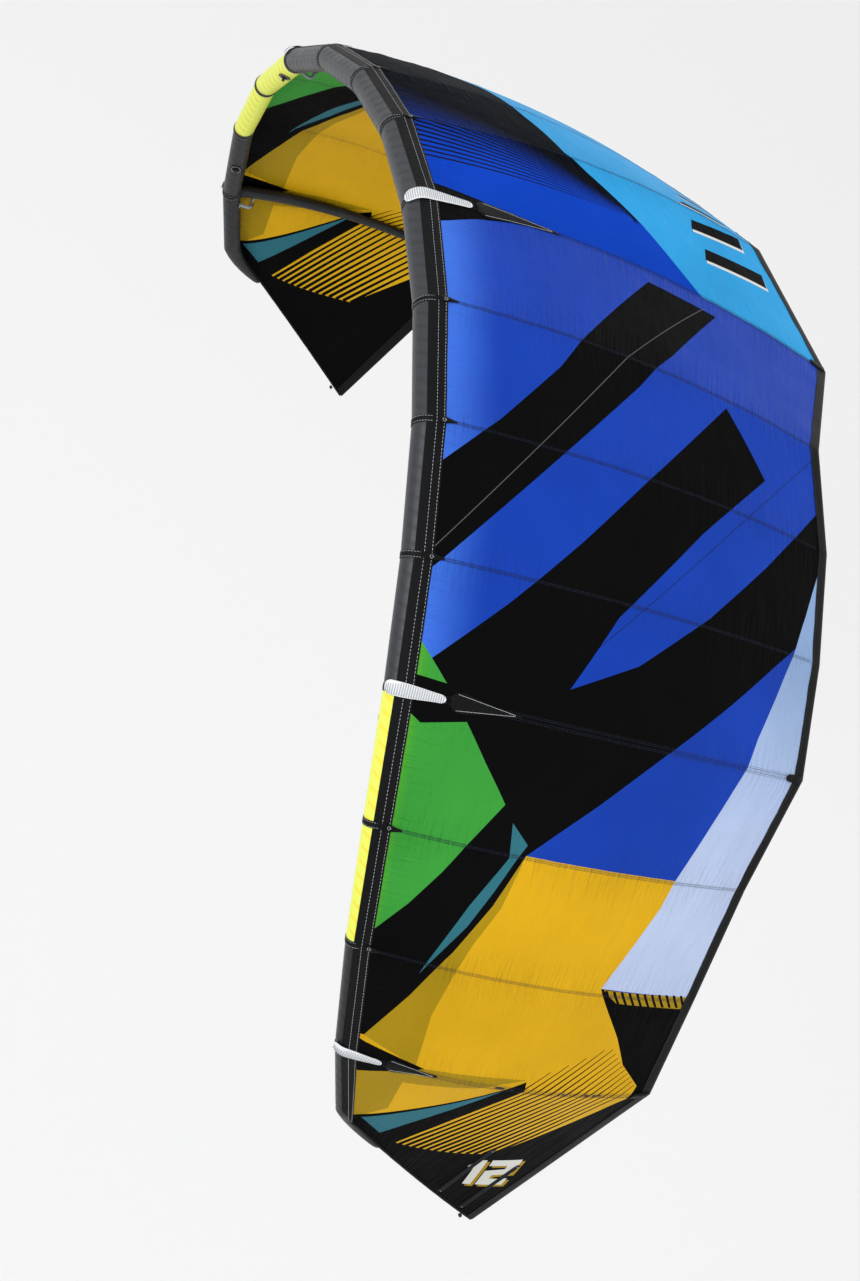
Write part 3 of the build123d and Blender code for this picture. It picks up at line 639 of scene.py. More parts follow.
def hard_group():
    """Moulded plastic or rubber: fine grain, small dents, and roughness that varies in patches."""
    found = bpy.data.node_groups.get("Moulded Grain")
    if found:
        return found
    tree, s, start, end = shade_group(
        "Moulded Grain",
        (("Colour", COLOUR, (0.5, 0.5, 0.5, 1)), ("Place", VECTOR, (0, 0, 0)),
         ("Base Roughness", NUMBER, 0.4), ("Weave", NUMBER, 0.0)),
    )
    grain = s.noise(start["Place"], 900.0, 3.0)
    cloud = s.noise(start["Place"], 24.0, 4.0, 0.6)
    x, y, z = s.split(start["Place"])
    diagonal = s.math("SINE", s.math("MULTIPLY", s.math("ADD", s.math("ADD", x, y), z), 2600.0))
    counter = s.math("SINE", s.math("MULTIPLY", s.math("SUBTRACT", s.math("ADD", x, y), z), 2600.0))
    web = s.math("MULTIPLY", s.math("MULTIPLY", diagonal, counter), start["Weave"])
    worn = s.ramp(cloud, 0.45, 0.75, 0.0, 0.22)
    tone = s.mix(worn, start["Colour"], (0.5, 0.5, 0.5, 1), "OVERLAY")
    tone = s.mix(s.ramp(web, -1.0, 1.0, 0.0, 0.25), tone, DARK)
    s.put(tone, end["Colour"])
    s.put(s.math("ADD", start["Base Roughness"], s.ramp(cloud, 0.2, 0.8, -0.06, 0.12)),
          end["Roughness"])
    s.put(s.bump(s.math("ADD", grain, s.math("MULTIPLY", web, 2.0)), 0.25, 0.0003), end["Normal"])
    return tree


def moulded(name, colour, roughness=0.4, weave=0.0, **sockets):
    return finish_from(name, hard_group(), {"Colour": colour, "Base Roughness": roughness,
                                            "Weave": weave}, **sockets)


def light_thread():
    return moulded("Light Thread", tuple(bpy.context.scene.kite_trim.thread), 0.6, 1.0)


# ---- the canopy's coloured panels, as (ribs outwards, share back) ----
BLACK_FRONT = [
    (3.73, 0.0), (3.73, 0.048), (3.21, 0.190), (2.63, 0.338), (2.09, 0.468), (1.08, 0.715),
    (1.60, 0.812), (2.29, 0.628), (2.66, 0.542), (3.11, 0.438), (3.72, 0.350), (3.43, 0.500),
    (2.93, 0.662), (2.35, 0.815), (1.60, 1.0), (2.06, 1.0), (2.93, 0.922), (3.52, 0.758),
    (4.03, 0.610), (4.51, 0.487), (4.98, 0.357), (5.42, 0.307), (5.85, 0.240), (6.30, 0.152),
    (6.78, 0.043), (6.80, 0.0),
]
BAND = [
    (2.34, 0.0), (1.88, 0.140), (1.30, 0.280), (0.13, 0.500), (0.16, 0.677), (0.81, 0.565),
    (1.22, 0.478), (2.05, 0.275), (2.55, 0.152), (3.13, 0.0),
]
PALE = [(2.06, 1.0), (2.93, 0.922), (3.74, 0.845), (4.49, 0.800), (5.22, 0.760), (5.94, 0.680),
        (5.97, 1.0)]
GREEN = [(4.12, 0.0), (4.20, 0.048), (4.12, 0.143), (4.38, 0.203), (4.64, 0.270), (4.93, 0.220),
         (5.24, 0.165), (5.55, 0.100), (5.90, 0.0)]
TEAL = [(4.76, 0.300), (4.90, 0.352), (5.30, 0.302), (5.62, 0.258), (6.10, 0.165), (5.45, 0.250),
        (5.02, 0.318)]
YELLOW = [(4.98, 0.357), (4.98, 0.790), (5.94, 0.700), (6.15, 0.750), (6.39, 0.812), (6.66, 0.870),
          (6.89, 0.950), (7.0, 0.95), (7.58, 0.715), (7.86, 0.30), (7.90, 0.24), (7.88, 0.055),
          (7.86, 0.0), (6.78, 0.0), (6.78, 0.043), (6.30, 0.152), (5.85, 0.240), (5.42, 0.307)]
# SHADOW is painted shade: olive cloth laid by the outer strut where the yellow cloth lies in shade
SHADOW = [(7.18, 0.0), (7.21, 0.03), (6.95, 0.228), (6.88, 0.555), (7.04, 0.408), (7.17, 0.190),
          (7.54, 0.185), (7.89, 0.052), (7.88, 0.0)]
SPEAR = [(-0.17, 0.0), (-0.15, 0.05), (-0.11, 0.100), (-0.07, 0.168), (-0.01, 0.285), (0.03, 0.200),
         (0.13, 0.100), (0.22, 0.040), (0.26, 0.0)]
OLIVE = [(4.98, 0.357), (5.42, 0.330), (5.76, 0.285), (6.44, 0.220), (6.95, 0.208), (6.78, 0.043),
         (6.30, 0.152), (5.85, 0.240), (5.42, 0.307)]
SLIVER = [(5.95, 0.690), (5.97, 1.0), (6.09, 1.0), (6.06, 0.745)]
POINT = [(6.80, 0.0), (6.84, 0.050), (6.95, 0.235), (7.20, 0.040), (7.20, 0.0)]
WEDGE_EDGE = [(7.94, 0.03), (7.86, 0.05), (6.90, 0.555), (7.00, 0.560), (7.95, 0.27)]
WEDGE = [(7.84, 0.085), (7.02, 0.500), (7.87, 0.205)]
TRIANGLE = [(3.56, 0.0), (3.86, 0.0), (3.88, 0.088)]
TAIL_BLACK = [(5.94, 0.680), (6.00, 1.0), (7.01, 1.0), (7.02, 0.930), (6.89, 0.938), (6.66, 0.850),
              (6.39, 0.792), (6.15, 0.730)]
SKY = [(0.0, 0.64), (0.50, 0.547), (0.87, 0.455), (1.07, 0.415), (1.75, 0.360), (2.57, 0.325),
       (3.0, 0.262), (3.35, 0.13), (3.5, 0.0), (4.0, 0.0), (4.0, 1.0), (0.0, 1.0)]
DUSK_EDGE = SKY[:9]


def quad_line(a, b, width_a, width_b=None):
    """A thin straight band from a to b, its widths counted in chord shares at each end."""
    width_b = width_a if width_b is None else width_b
    return [(a[0], a[1] - width_a / 2), (b[0], b[1] - width_b / 2), (b[0], b[1] + width_b / 2),
            (a[0], a[1] + width_a / 2)]


def flip(outline):
    return [(-x, y) for x, y in outline]


def number_outlines(shift):
    """A plain size number on the left tip."""
    corner, across, down = Vector((7.68, 0.660)), Vector((-0.12, 0.200)), Vector((0.19, 0.068))
    one = [(0.02, 0.28), (0.20, 0.0), (0.36, 0.0), (0.30, 1.0), (0.12, 1.0), (0.16, 0.34)]
    two = [(0.46, 0.0), (1.02, 0.0), (0.99, 0.58), (0.62, 0.62), (0.61, 0.76), (0.98, 0.76),
           (0.96, 1.0), (0.40, 1.0), (0.43, 0.44), (0.80, 0.38), (0.81, 0.24), (0.45, 0.24)]
    return [
        [tuple(corner + across * (x + shift) + down * (y + shift)) for x, y in outline]
        for outline in (one, two)
    ]


def canopy_panels():
    """Every coloured panel in the order that it is laid, as (finish, outline)."""
    panels = [("sky", flip(SKY)), ("dusk", flip([(0, 0.0), *DUSK_EDGE, (3.5, 0.0)]))]
    for i in range(17):  # fine stripes that run together at the sky's edge
        t = i / 16
        start, end = (-0.52 - 1.05 * t, 0.0), (-0.52 - 0.30 * t, 0.500 - 0.060 * t)
        rim = 0.011 + 0.008 * t
        panels.append(("black", [(start[0] + rim, 0.0), (end[0] + 0.002, end[1]),
                                 (end[0] - 0.002, end[1]), (start[0] - rim, 0.0)]))
    for i in range(6):  # plain slanted bars, each with a pale edge
        a, width = -0.45 - 0.30 * i, 0.13 - 0.012 * i
        top, foot = 0.72 + 0.012 * i, 0.93 - 0.015 * i
        for key, edge in (("white", 0.028), ("black", 0.0)):
            panels.append((key, [(a + edge, top), (a - width, top + 0.02),
                                 (a - width - 0.10, foot + 0.01), (a - 0.10 + edge, foot)]))
    panels += [("black", BAND), ("black", SPEAR)]
    panels.append(("stitch", quad_line((0.13, 0.645), (2.97, 0.013), 0.0022)))
    panels.append(("seam", quad_line((1.12, 0.985), (3.90, 0.262), 0.0026)))
    outer_black = [(4.0, 0.0), (4.0, 0.618), *BLACK_FRONT[19:]]
    for side, black in ((list, BLACK_FRONT), (flip, outer_black)):
        far = side is flip
        pale = [p for p in PALE if not far or p[0] > 3.9] + ([(4.0, 1.0)] if far else [])
        # the olive SHADOW outline is painted shade on the yellow
        panels += [(key, side(outline)) for key, outline in (
            ("black", black), ("green", GREEN), ("teal", TEAL), ("yellow", YELLOW), ("pale", pale),
            ("olive", OLIVE), ("olive", SHADOW))]
        tip = [(7.0, 0.94), (7.58, 0.715), (7.86, 0.30), (7.90, 0.24), (7.88, 0.055), (7.86, 0.0),
               (8.0, 0.0), (8.0, 1.0), (7.0, 1.0)]
        panels += [("black", side(tip)), ("black", side(TAIL_BLACK)), ("olive", side(SLIVER))]
        for i in range(12):
            back = 0.70 + 0.025 * i
            panels.append(("black", side(quad_line((5.955, back), (6.075, back + 0.03), 0.009))))
        for i in range(1, 15):  # the fan of stripes, thick at the tip and drawn out inwards
            t = i / 14.5
            a = (7.89 - 0.32 * t, 0.26 + 0.47 * t)
            b = (6.30 + 0.60 * t, 0.72 + 0.215 * t)
            if t <= 0.3:
                b = (6.86 - 1.25 * t, 0.57 + 0.71 * t)
            panels.append(("black", side(quad_line(a, b, 0.017, 0.003))))
        panels += [("black", side(POINT)), ("black", side(WEDGE_EDGE)), ("teal", side(WEDGE))]
        if not far:
            panels.append(("green", TRIANGLE))
            panels += [("olive", outline) for outline in number_outlines(0.07)]
            panels += [("white", outline) for outline in number_outlines(0.0)]
    return panels


def shade_at(key, place, share):
    """How far a panel's cloth has gone from its first colour to its second."""
    a = abs(place)
    if key == "pale":
        return smooth(2.4, 5.4, a)
    if key == "dusk":  # darker along rays that run together where the stripes do
        if share > 0.52:
            return 1.0 if a > 0.5 else 0.0
        return smooth(0.6, 1.8, 0.5 + (a - 0.5) * 0.547 / (0.547 - share))
    # green: a painted highlight, a lime glow along the leading edge
    if key == "green":
        return smooth(0.05, 0.0, share)
    # other cloths run towards their second colour along the leading edge: a painted highlight on
    # the blue, a slightly darker tone on the yellow, no change where both colours are one
    return 0.8 * smooth(0.15, 0.0, share)


class KiteCanopySettings(bpy.types.PropertyGroup):
    """Sizes and colours of the canopy."""

    billow: FloatProperty(name="Billow", description="How far the cloth crowns between two ribs",
                          default=0.010, min=0.0, max=0.03, unit="LENGTH")
    ripple: FloatProperty(name="Creases", description="How strong the tension creases are",
                          default=1.0, min=0.0, max=3.0)
    pitch: FloatProperty(name="Mesh Pitch", description="Distance between the canopy's mesh points",
                         default=0.021, min=0.01, max=0.1, unit="LENGTH")
    blue: FloatVectorProperty(name="Main Colour", description="Main cloth", size=4,
                              subtype="COLOR", default=linear(10, 60, 172))
    yellow: FloatVectorProperty(name="Outer Colour", description="Cloth of the outer panels",
                                size=4, subtype="COLOR", default=linear(220, 170, 14))
    black: FloatVectorProperty(name="Dark Colour", description="Dark cloth", size=4,
                               subtype="COLOR", default=linear(10, 10, 11))
    sky: FloatVectorProperty(name="Light Colour", description="Light cloth of the right wing",
                             size=4, subtype="COLOR", default=linear(22, 160, 226))
    green: FloatVectorProperty(name="Front Panel Colour",
                               description="Panel beside the inner strut",
                               size=4, subtype="COLOR", default=linear(56, 156, 56))


class KiteTubeSettings(bpy.types.PropertyGroup):
    """Sizes and colours of the inflated tubes."""

    pucker: FloatProperty(name="Pucker", description="How deep the tube's cloth pulls in at a seam",
                          default=0.0014, min=0.0, max=0.004, unit="LENGTH")
    rings: IntProperty(name="Rings", description="Mesh rings between two seams", default=30,
                       min=4, max=80)
    dark: FloatVectorProperty(name="Tube Colour", description="Cloth of the tubes", size=4,
                              subtype="COLOR", default=linear(44, 47, 53))
    bright: FloatVectorProperty(name="Bright Tube Colour",
                                description="Cloth of the two bright panels",
                                size=4, subtype="COLOR", default=linear(226, 238, 92))


class KiteTrimSettings(bpy.types.PropertyGroup):
    """Sizes and colours of the stitches, pads and patches."""

    stitch_step: FloatProperty(name="Stitch Step", description="From one stitch to the next",
                               default=0.010, min=0.003, max=0.05, unit="LENGTH")
    stitch_width: FloatProperty(name="Stitch Width",
                                description="Thickness of the thread as it lies",
                                default=0.0012, min=0.0003, max=0.005, unit="LENGTH")
    thread: FloatVectorProperty(name="Thread Colour", description="Thread of the edges and pads",
                                size=4, subtype="COLOR", default=linear(214, 216, 220))


class KiteStageSettings(bpy.types.PropertyGroup):
    """Sizes of the floor, lens and light."""

    drop: FloatProperty(name="Floor Drop", description="From the kite's lowest point to the floor",
                        default=4.5, min=0.0, max=20.0, unit="LENGTH")
    lens: FloatProperty(name="Lens", description="Focal length", default=86.5, min=20.0, max=200.0,
                        unit="CAMERA")
    key: FloatProperty(name="Key Light", description="Power of the large front light",
                       default=430.0, min=0.0, max=5000.0, unit="POWER")


class KITE_OT_stage(bpy.types.Operator):
    """Lay the pale floor, hang the soft lights and set the camera"""

    bl_idname = "kite.stage"
    bl_label = "Stage"

    def execute(self, context):
        stage, scene = context.scene.kite_stage, context.scene
        work = bmesh.new()
        bmesh.ops.create_grid(work, x_segments=4, y_segments=4, size=90)
        mesh = bpy.data.meshes.new("floor")
        work.to_mesh(mesh)
        work.free()
        mesh.materials.append(moulded("Pale Floor", (0.97, 0.97, 0.97, 1), 0.8))
        floor = bpy.data.objects.new("floor", mesh)
        floor.location.z = START_BOUNDS[0].z - stage.drop
        scene.collection.objects.link(floor)
        floor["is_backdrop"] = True
        world = bpy.data.worlds.new("Soft Room")
        world.use_nodes = True
        sky = world.node_tree.nodes["Background"]
        sky.inputs["Color"].default_value = (1.0, 1.0, 1.0, 1)
        sky.inputs["Strength"].default_value = 0.98
        scene.world = world
        scene.view_settings.view_transform = "Standard"
        back = CAMERA_RIGHT.cross(CAMERA_UP).normalized()
        up = CAMERA_UP - back * CAMERA_UP.dot(back)
        data = bpy.data.cameras.new("camera")
        data.lens, data.clip_end = stage.lens, 400
        camera = bpy.data.objects.new("camera", data)
        matrix = camera.matrix_world.to_3x3()
        for i, axis in enumerate((CAMERA_RIGHT, up, back)):
            for k in range(3):
                matrix[k][i] = axis[k]
        camera.matrix_world = matrix.to_4x4()
        camera.location = CAMERA_PLACE
        scene.collection.objects.link(camera)
        scene.camera = camera
        lamps = (("front_light", (4.0, -9.5, 6.0), 3.0, stage.key),
                 ("side_light", (8, 2, 3), 5.0, 70), ("back_light", (-6, 6, 8), 5.0, 70))
        for name, spot, size, power in lamps:
            lamp = bpy.data.lights.new(name, "AREA")
            lamp.energy, lamp.size = power, size
            light = bpy.data.objects.new(name, lamp)
            light.location = spot
            light.rotation_euler = (-Vector(spot)).to_track_quat("-Z", "Y").to_euler()
            scene.collection.objects.link(light)
        return {"FINISHED"}


def canopy_finishes(looks):
    dark = tuple(looks.black)
    return {
        # the blue's second colour is a painted highlight along the leading edge
        "blue": cloth("Blue Ripstop", tuple(looks.blue), linear(70, 126, 240)),
        "sky": cloth("Sky Ripstop", tuple(looks.sky)),
        "dusk": cloth("Dusk Ripstop", linear(10, 66, 190), linear(4, 8, 18), sheen=0.0, gloss=0.01),
        "black": cloth("Black Ripstop", dark, seams=0.5, sheen=0.0, gloss=0.02),
        "pale": cloth("Pale Ripstop", linear(138, 168, 212), linear(186, 200, 232), seams=0.5),
        # the green's second colour is a painted highlight, a lime glow along the leading edge
        "green": cloth("Green Ripstop", tuple(looks.green), linear(96, 178, 22)),
        "teal": cloth("Teal Ripstop", linear(44, 110, 124)),
        "yellow": cloth("Yellow Ripstop", tuple(looks.yellow), linear(206, 158, 8), seams=0.6),
        "olive": cloth("Olive Ripstop", linear(170, 138, 6), seams=0.6),
        "white": cloth("White Print", linear(222, 222, 216), seams=0.0),
        "stitch": cloth("Pale Seam", linear(86, 88, 92), seams=0.0),
        "seam": cloth("Dark Seam", linear(8, 34, 96), seams=0.0),
    }


class KITE_OT_canopy(bpy.types.Operator):
    """Sew the canopy: one curved sheet from tip to tip, in its coloured panels"""

    bl_idname = "kite.canopy"
    bl_label = "Canopy"

    def execute(self, context):
        looks = context.scene.kite_canopy
        finishes = canopy_finishes(looks)
        keys = list(finishes)
        first, last = 0.010, 0.992
        count = round(8 * GORE_WIDTH / looks.pitch)
        rows = round((last - first) * MEAN_CHORD / looks.pitch)
        flat = []
        for i in range(-count, count + 1):
            for k in range(rows + 1):
                flat.append((8 * i / count, first + (last - first) * k / rows))
        outlines = []
        for key, outline in canopy_panels():
            held = [(max(-8, min(8, x)), max(first, min(last, y))) for x, y in outline]
            if sum(x * q - p * y for (x, y), (p, q) in zip(held, held[1:] + held[:1])) < 0:
                held.reverse()
            corners = []
            for x, y in dense(held, 0.045, 0.012):
                corners.append(len(flat))
                flat.append((x, y))
            outlines.append((key, corners))
        scaled = [Vector((x * GORE_WIDTH, y * MEAN_CHORD)) for x, y in flat]
        loops = [corners for _, corners in outlines]
        points, _, faces, _, _, owners = delaunay_2d_cdt(scaled, [], loops, 0, 1e-5)
        places = [(p.x / GORE_WIDTH, p.y / MEAN_CHORD) for p in points]
        picks = [keys.index(outlines[max(own)][0]) if own else 0 for own in owners]
        corners = [[(places[v][0] * GORE_WIDTH, places[v][1] * MEAN_CHORD) for v in face]
                   for face in faces]
        canopy = piece_from("canopy", [skin_point(x, y) for x, y in places], faces,
                            [finishes[key] for key in keys], picks, corners,
                            outward=lambda c: skin_way(max(-8, min(8, c.x / RIB_STEP)), 0.5))
        if len(canopy.data.vertices) != len(places):
            raise RuntimeError("the canopy lost points when its doubles were merged")
        # shade per corner: printed gradients on the dusk and pale cloth, a painted highlight along
        # the leading edge on the blue and green
        shade = canopy.data.attributes.new("shade", "FLOAT", "CORNER")
        for face in canopy.data.polygons:
            for corner in face.loop_indices:
                spot = places[canopy.data.loops[corner].vertex_index]
                shade.data[corner].value = shade_at(keys[face.material_index], *spot)
        gores = [f"canopy_gore_{i}_{side}" for i in range(1, 9) for side in ("left", "right")]
        ride(canopy, "canopy", *gores)
        return {"FINISHED"}


def along_row(share_of, first=-8.0, last=8.0, lift=0.0, step=0.08):
    """Points and directions along the span at a share that depends on the rib."""
    count = math.ceil((last - first) / step)
    places = [first + (last - first) * i / count for i in range(count + 1)]
    return [skin_spot(p, share_of(p), lift) for p in places]


def share_for(distance):
    """The chord share that a distance back from the tube takes at any place."""
    def share(place):
        _, rib, after, t = ribs_at(place)
        return distance / (rib.arc_length * (1 - t) + after.arc_length * t)

    return share


class KITE_OT_edges(bpy.types.Operator):
    """Sew the strip along the leading edge, the folded binding behind and the tips' hems"""

    bl_idname = "kite.edges"
    bl_label = "Edges"

    def execute(self, context):
        dark = cloth("Binding Cloth", linear(14, 15, 17), seams=0.0)
        places = [-8 + 16 * i / 320 for i in range(321)]
        rings, coords = [], []
        for place in places:
            _, rib, after, t = ribs_at(place)
            wrap = []
            for turn, lift in ((26, 0.0016), (13, 0.0020), (3, 0.0024)):
                p, q = (each.round_tube(each.radius + lift, each.start_angle + turn)
                        for each in (rib, after))
                wrap.append(mirrored(p.lerp(q, t), place < 0))
            back = [skin_point(place, share_for(distance)(place), 0.0014)
                    for distance in (0.006, 0.024, STRIP_WIDTH)]
            rings.append(wrap + back)
            coords.append((place * GORE_WIDTH, 0.07))
        strip = lofted("leading_edge_strip_cloth", rings, coords, [dark], closed=False,
                       outward=lambda c: c - HUB * 0.2)
        ride(strip, "binding", "leading_edge_strip")
        rings = []
        for place in places:
            back = share_for(BINDING_WIDTH)(place)
            ring = [skin_point(place, 1 - back * s, lift) for s, lift in (
                (1.0, 0.0014), (0.5, 0.0018), (0.0, 0.0018), (-0.26, 0.0004), (0.0, -0.0020),
                (0.5, -0.0022), (1.0, -0.0020))]
            rings.append(ring)
        binding = lofted("trailing_edge_fold", rings, coords, [dark], closed=False,
                         outward=lambda c: Vector((0, 1, 0)))
        ride(binding, "binding", "trailing_edge_binding")
        tip, hems = ROW[-1], []
        for right in (False, True):
            rings, coords = [], []
            for i in range(33):
                share = 0.04 + 0.96 * i / 32
                centre = mirrored(tip.skin(share, 0.00075) + tip.side * 0.0028, right)
                way = mirrored(tip.skin_back(share), right)
                swell = 0.0052 * (1 + 0.05 * math.sin(i * 1.9))
                rings.append(ring_of(centre, way, mirrored(tip.skin_out(share), right), swell, 12))
                coords.append((share * tip.arc_length, 0.033))
            hem = lofted(f"tip_hem_{side_name(right)}", rings, coords, [dark], caps=True)
            hems.append(ride(hem, "binding"))
        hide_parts("tip_edge_binding")
        for hem in hems:
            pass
        return {"FINISHED"}


def sleeve_rows(looks):
    """Centre, direction, radius and chord direction of each ring from the middle out to one tip."""
    row = []
    for i in range(8):
        a, b = ROW[i], ROW[i + 1]
        gap = (b.centre - a.centre).length
        for k in range(looks.rings):
            t = k / looks.rings
            near = min(t, 1 - t) * gap
            pinch = looks.pucker * math.exp(-((near / 0.016) ** 2))
            row.append((a.centre.lerp(b.centre, t), a.tangent.lerp(b.tangent, t).normalized(),
                        a.radius + (b.radius - a.radius) * t, a.back.lerp(b.back, t), pinch, i + t))
    tip = ROW[-1]
    bend = tip.centre + tip.tangent * 0.062 + tip.back * 0.045
    end = tip.skin(0.262, -0.004) + tip.side * 0.010
    for k in range(25):
        t = k / 24
        centre = tip.centre * (1 - t) ** 2 + (bend * 2 * t * (1 - t)) + end * t * t
        way = ((bend - tip.centre) * (1 - t) + (end - bend) * t).normalized()
        way = tip.tangent.lerp(way, min(1.0, 4 * t)).normalized()
        radius = tip.radius * (1 - t) ** 0.8 + 0.009 * t
        if t > 0.9:
            radius *= math.sqrt(max(0.02, 1 - ((t - 0.9) / 0.1) ** 2))
        back = tip.back.lerp(tip.tangent * -1, 0.9 * t)
        row.append((centre, way, radius, back, 0.0, 8 + t))
    return row


class KITE_OT_sleeve(bpy.types.Operator):
    """Inflate the leading edge: a sleeve of sewn panels that tapers into both tips"""

    bl_idname = "kite.sleeve"
    bl_label = "Leading Edge"

    def execute(self, context):
        looks = context.scene.kite_tubes
        dark = finish_from("Dark Tube Cloth", tube_group(),
                           {"Colour": tuple(looks.dark), "Print": linear(34, 36, 40)},
                           Specular_IOR_Level=0.4)
        deep = finish_from("Deep Tube Cloth", tube_group(),
                           {"Colour": linear(26, 27, 29), "Print": linear(16, 17, 18)},
                           Specular_IOR_Level=0.3)
        bright = finish_from("Bright Tube Cloth", tube_group(),
                             {"Colour": tuple(looks.bright), "Print": linear(232, 204, 52)},
                             Specular_IOR_Level=0.3)
        half = sleeve_rows(looks)
        row = [(True, *each) for each in half[:0:-1]] + [(False, *each) for each in half]
        rings, coords, marks, far, before = [], [], [], 0.0, None
        for right, centre, way, radius, back, pinch, mark in row:
            centre, way, back = (mirrored(v, right) for v in (centre, way, back))
            if right:
                way = -way
            ring = ring_of(centre, way, back, radius, 48)
            for k, point in enumerate(ring):
                turn = 2 * math.pi * k / 48
                fold = pinch * (0.75 + 0.25 * math.sin(17 * turn + mark))
                ring[k] = point + (centre - point).normalized() * fold
            if before is not None:
                far += (centre - before).length
            before = centre
            rings.append(ring)
            coords.append((far, 2 * math.pi * 0.055))
            marks.append(mark)

        def pick(i, k):
            panel = int((marks[i] + marks[min(i + 1, len(marks) - 1)]) / 2)
            return 1 if panel in (4, 5) else 2 if panel >= 6 else 0

        sleeve = lofted("leading_edge_sleeve", rings, coords, [dark, bright, deep], pick, caps=True)
        panels = [f"leading_edge_panel_{i}" for i in range(1, 9)]
        ride(sleeve, "sleeve", *panels, "tip_tube")
        return {"FINISHED"}


def strut_rows(rib, order):
    """Chord share, centre, direction and radius of each ring of a strut, front to back."""
    shrink = STRUT_TAPER ** (order / 2)
    root, tail = STRUT_RADIUS * shrink, STRUT_TAIL_RADIUS * shrink
    rows, first = [], (rib.radius * 0.9) / rib.arc_length
    for k in range(61):
        share = first + (STRUT_END - first) * k / 60
        radius = root + (tail - root) * share / STRUT_END
        centre = rib.skin(share, -STRUT_GAP - radius)
        left = (STRUT_END - share) * rib.arc_length
        if left < radius:
            radius *= math.sqrt(max(0.04, 1 - (1 - left / radius) ** 2))
        rows.append((share, centre, rib.skin_back(share), radius))
    return rows


class KITE_OT_struts(bpy.types.Operator):
    """Inflate the five struts, each fitted to the leading edge at its front"""

    bl_idname = "kite.struts"
    bl_label = "Struts"

    def execute(self, context):
        dark = finish_from("Strut Cloth", tube_group(),
                           {"Colour": linear(24, 25, 27), "Print": linear(16, 17, 18)},
                           Specular_IOR_Level=0.3)
        for order, i in enumerate(STRUT_RIBS):
            rib = ROW[i]
            rows = strut_rows(rib, order)
            reach = rib.radius + 0.0022
            for right in wings(i):
                rings, coords = [], []
                for n, (share, centre, way, radius) in enumerate(rows):
                    pinch = 0.0012 * math.exp(-((n - 3) / 3) ** 2)
                    ring = ring_of(centre, way, rib.skin_out(share), radius, 32)
                    for k, point in enumerate(ring):
                        inward = (centre - point).normalized()
                        point = point + inward * pinch * (1 + math.sin(k * 2.4)) / 2
                        away = point - rib.centre
                        side = away - rib.tangent * away.dot(rib.tangent)
                        if side.length < reach and n < 14:
                            # slide back along the strut until it clears the tube
                            flat = way - rib.tangent * way.dot(rib.tangent)
                            a, b = flat.length_squared, side.dot(flat)
                            c = side.length_squared - reach * reach
                            slide = (-b + math.sqrt(max(0.0, b * b - a * c))) / a
                            point = point + way * (slide + n * 0.0002)
                        ring[k] = mirrored(point, right)
                    rings.append(ring)
                    coords.append((share * rib.arc_length, 2 * math.pi * radius))
                end = f"_{side_name(right)}" if i else ""
                name = f"strut_{STRUT_NAMES[order]}{end}"
                strut = lofted(name + "_sleeve", rings, coords, [dark], caps=True)
                ride(strut, "sleeve", name)
        return {"FINISHED"}


class KITE_OT_bands(bpy.types.Operator):
    """Wrap a tape over each seam of the leading edge"""

    bl_idname = "kite.bands"
    bl_label = "Seam Bands"

    def execute(self, context):
        tape = cloth("Seam Tape", linear(20, 21, 23), seams=0.0)
        profile = ((-0.0130, 0.0), (-0.0125, 0.0013), (-0.007, 0.0016), (0.0, 0.0021),
                   (0.007, 0.0016), (0.0125, 0.0013), (0.0130, 0.0))
        pieces, rows = [], []
        for i, rib in enumerate(ROW[:-1]):
            inner = ROW[i - 1].centre if i else mirrored(ROW[1].centre, True)
            after = (ROW[i + 1].centre - rib.centre).normalized()
            before = (inner - rib.centre).normalized()
            for right in wings(i):
                rings, coords = [], []
                for along, lift in profile:
                    centre = rib.centre + (after if along > 0 else before) * abs(along)
                    ring = ring_of(centre, rib.tangent, rib.back, rib.radius + 0.0002 + lift, 48)
                    rings.append([mirrored(p, right) for p in ring])
                    coords.append((along, 2 * math.pi * rib.radius))
                end = f"{i}_{side_name(right)}" if i else "middle"
                band = lofted(f"seam_tape_{end}", rings, coords, [tape],
                              outward=lambda c, hub=mirrored(rib.centre, right): c - hub)
                pieces.append(ride(band, "trim"))
                for along in (-0.009, 0.009):
                    centre = rib.centre + (after if along > 0 else before) * abs(along)
                    hub = mirrored(centre, right)
                    ring = ring_of(centre, rib.tangent, rib.back, rib.radius + 0.0021, 49)
                    rows.append([(mirrored(p, right), (mirrored(p, right) - hub).normalized(), 1.0)
                                 for p in ring + ring[:1]])
        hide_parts("seam_bands")
        trim = context.scene.kite_trim
        stitches = rows_piece("seam_tape_stitches", rows, trim.stitch_step, trim.stitch_step * 0.6,
                              trim.stitch_width, 0.0008, light_thread())
        ride(stitches, "trim")
        return {"FINISHED"}


def pad_line(rib, lift, tail):
    """Points and outward directions from under the tube's nose back over the canopy."""
    line = []
    for k in range(25):
        angle = PAD_NOSE_ANGLE + (rib.start_angle - PAD_NOSE_ANGLE) * k / 24
        point = rib.round_tube(rib.radius + lift, angle)
        line.append((point, (point - rib.centre).normalized()))
    for k in range(1, 13):
        share = tail / rib.arc_length * k / 12
        line.append((rib.skin(share, lift - SKIN_LIFT), rib.skin_out(share)))
    return line


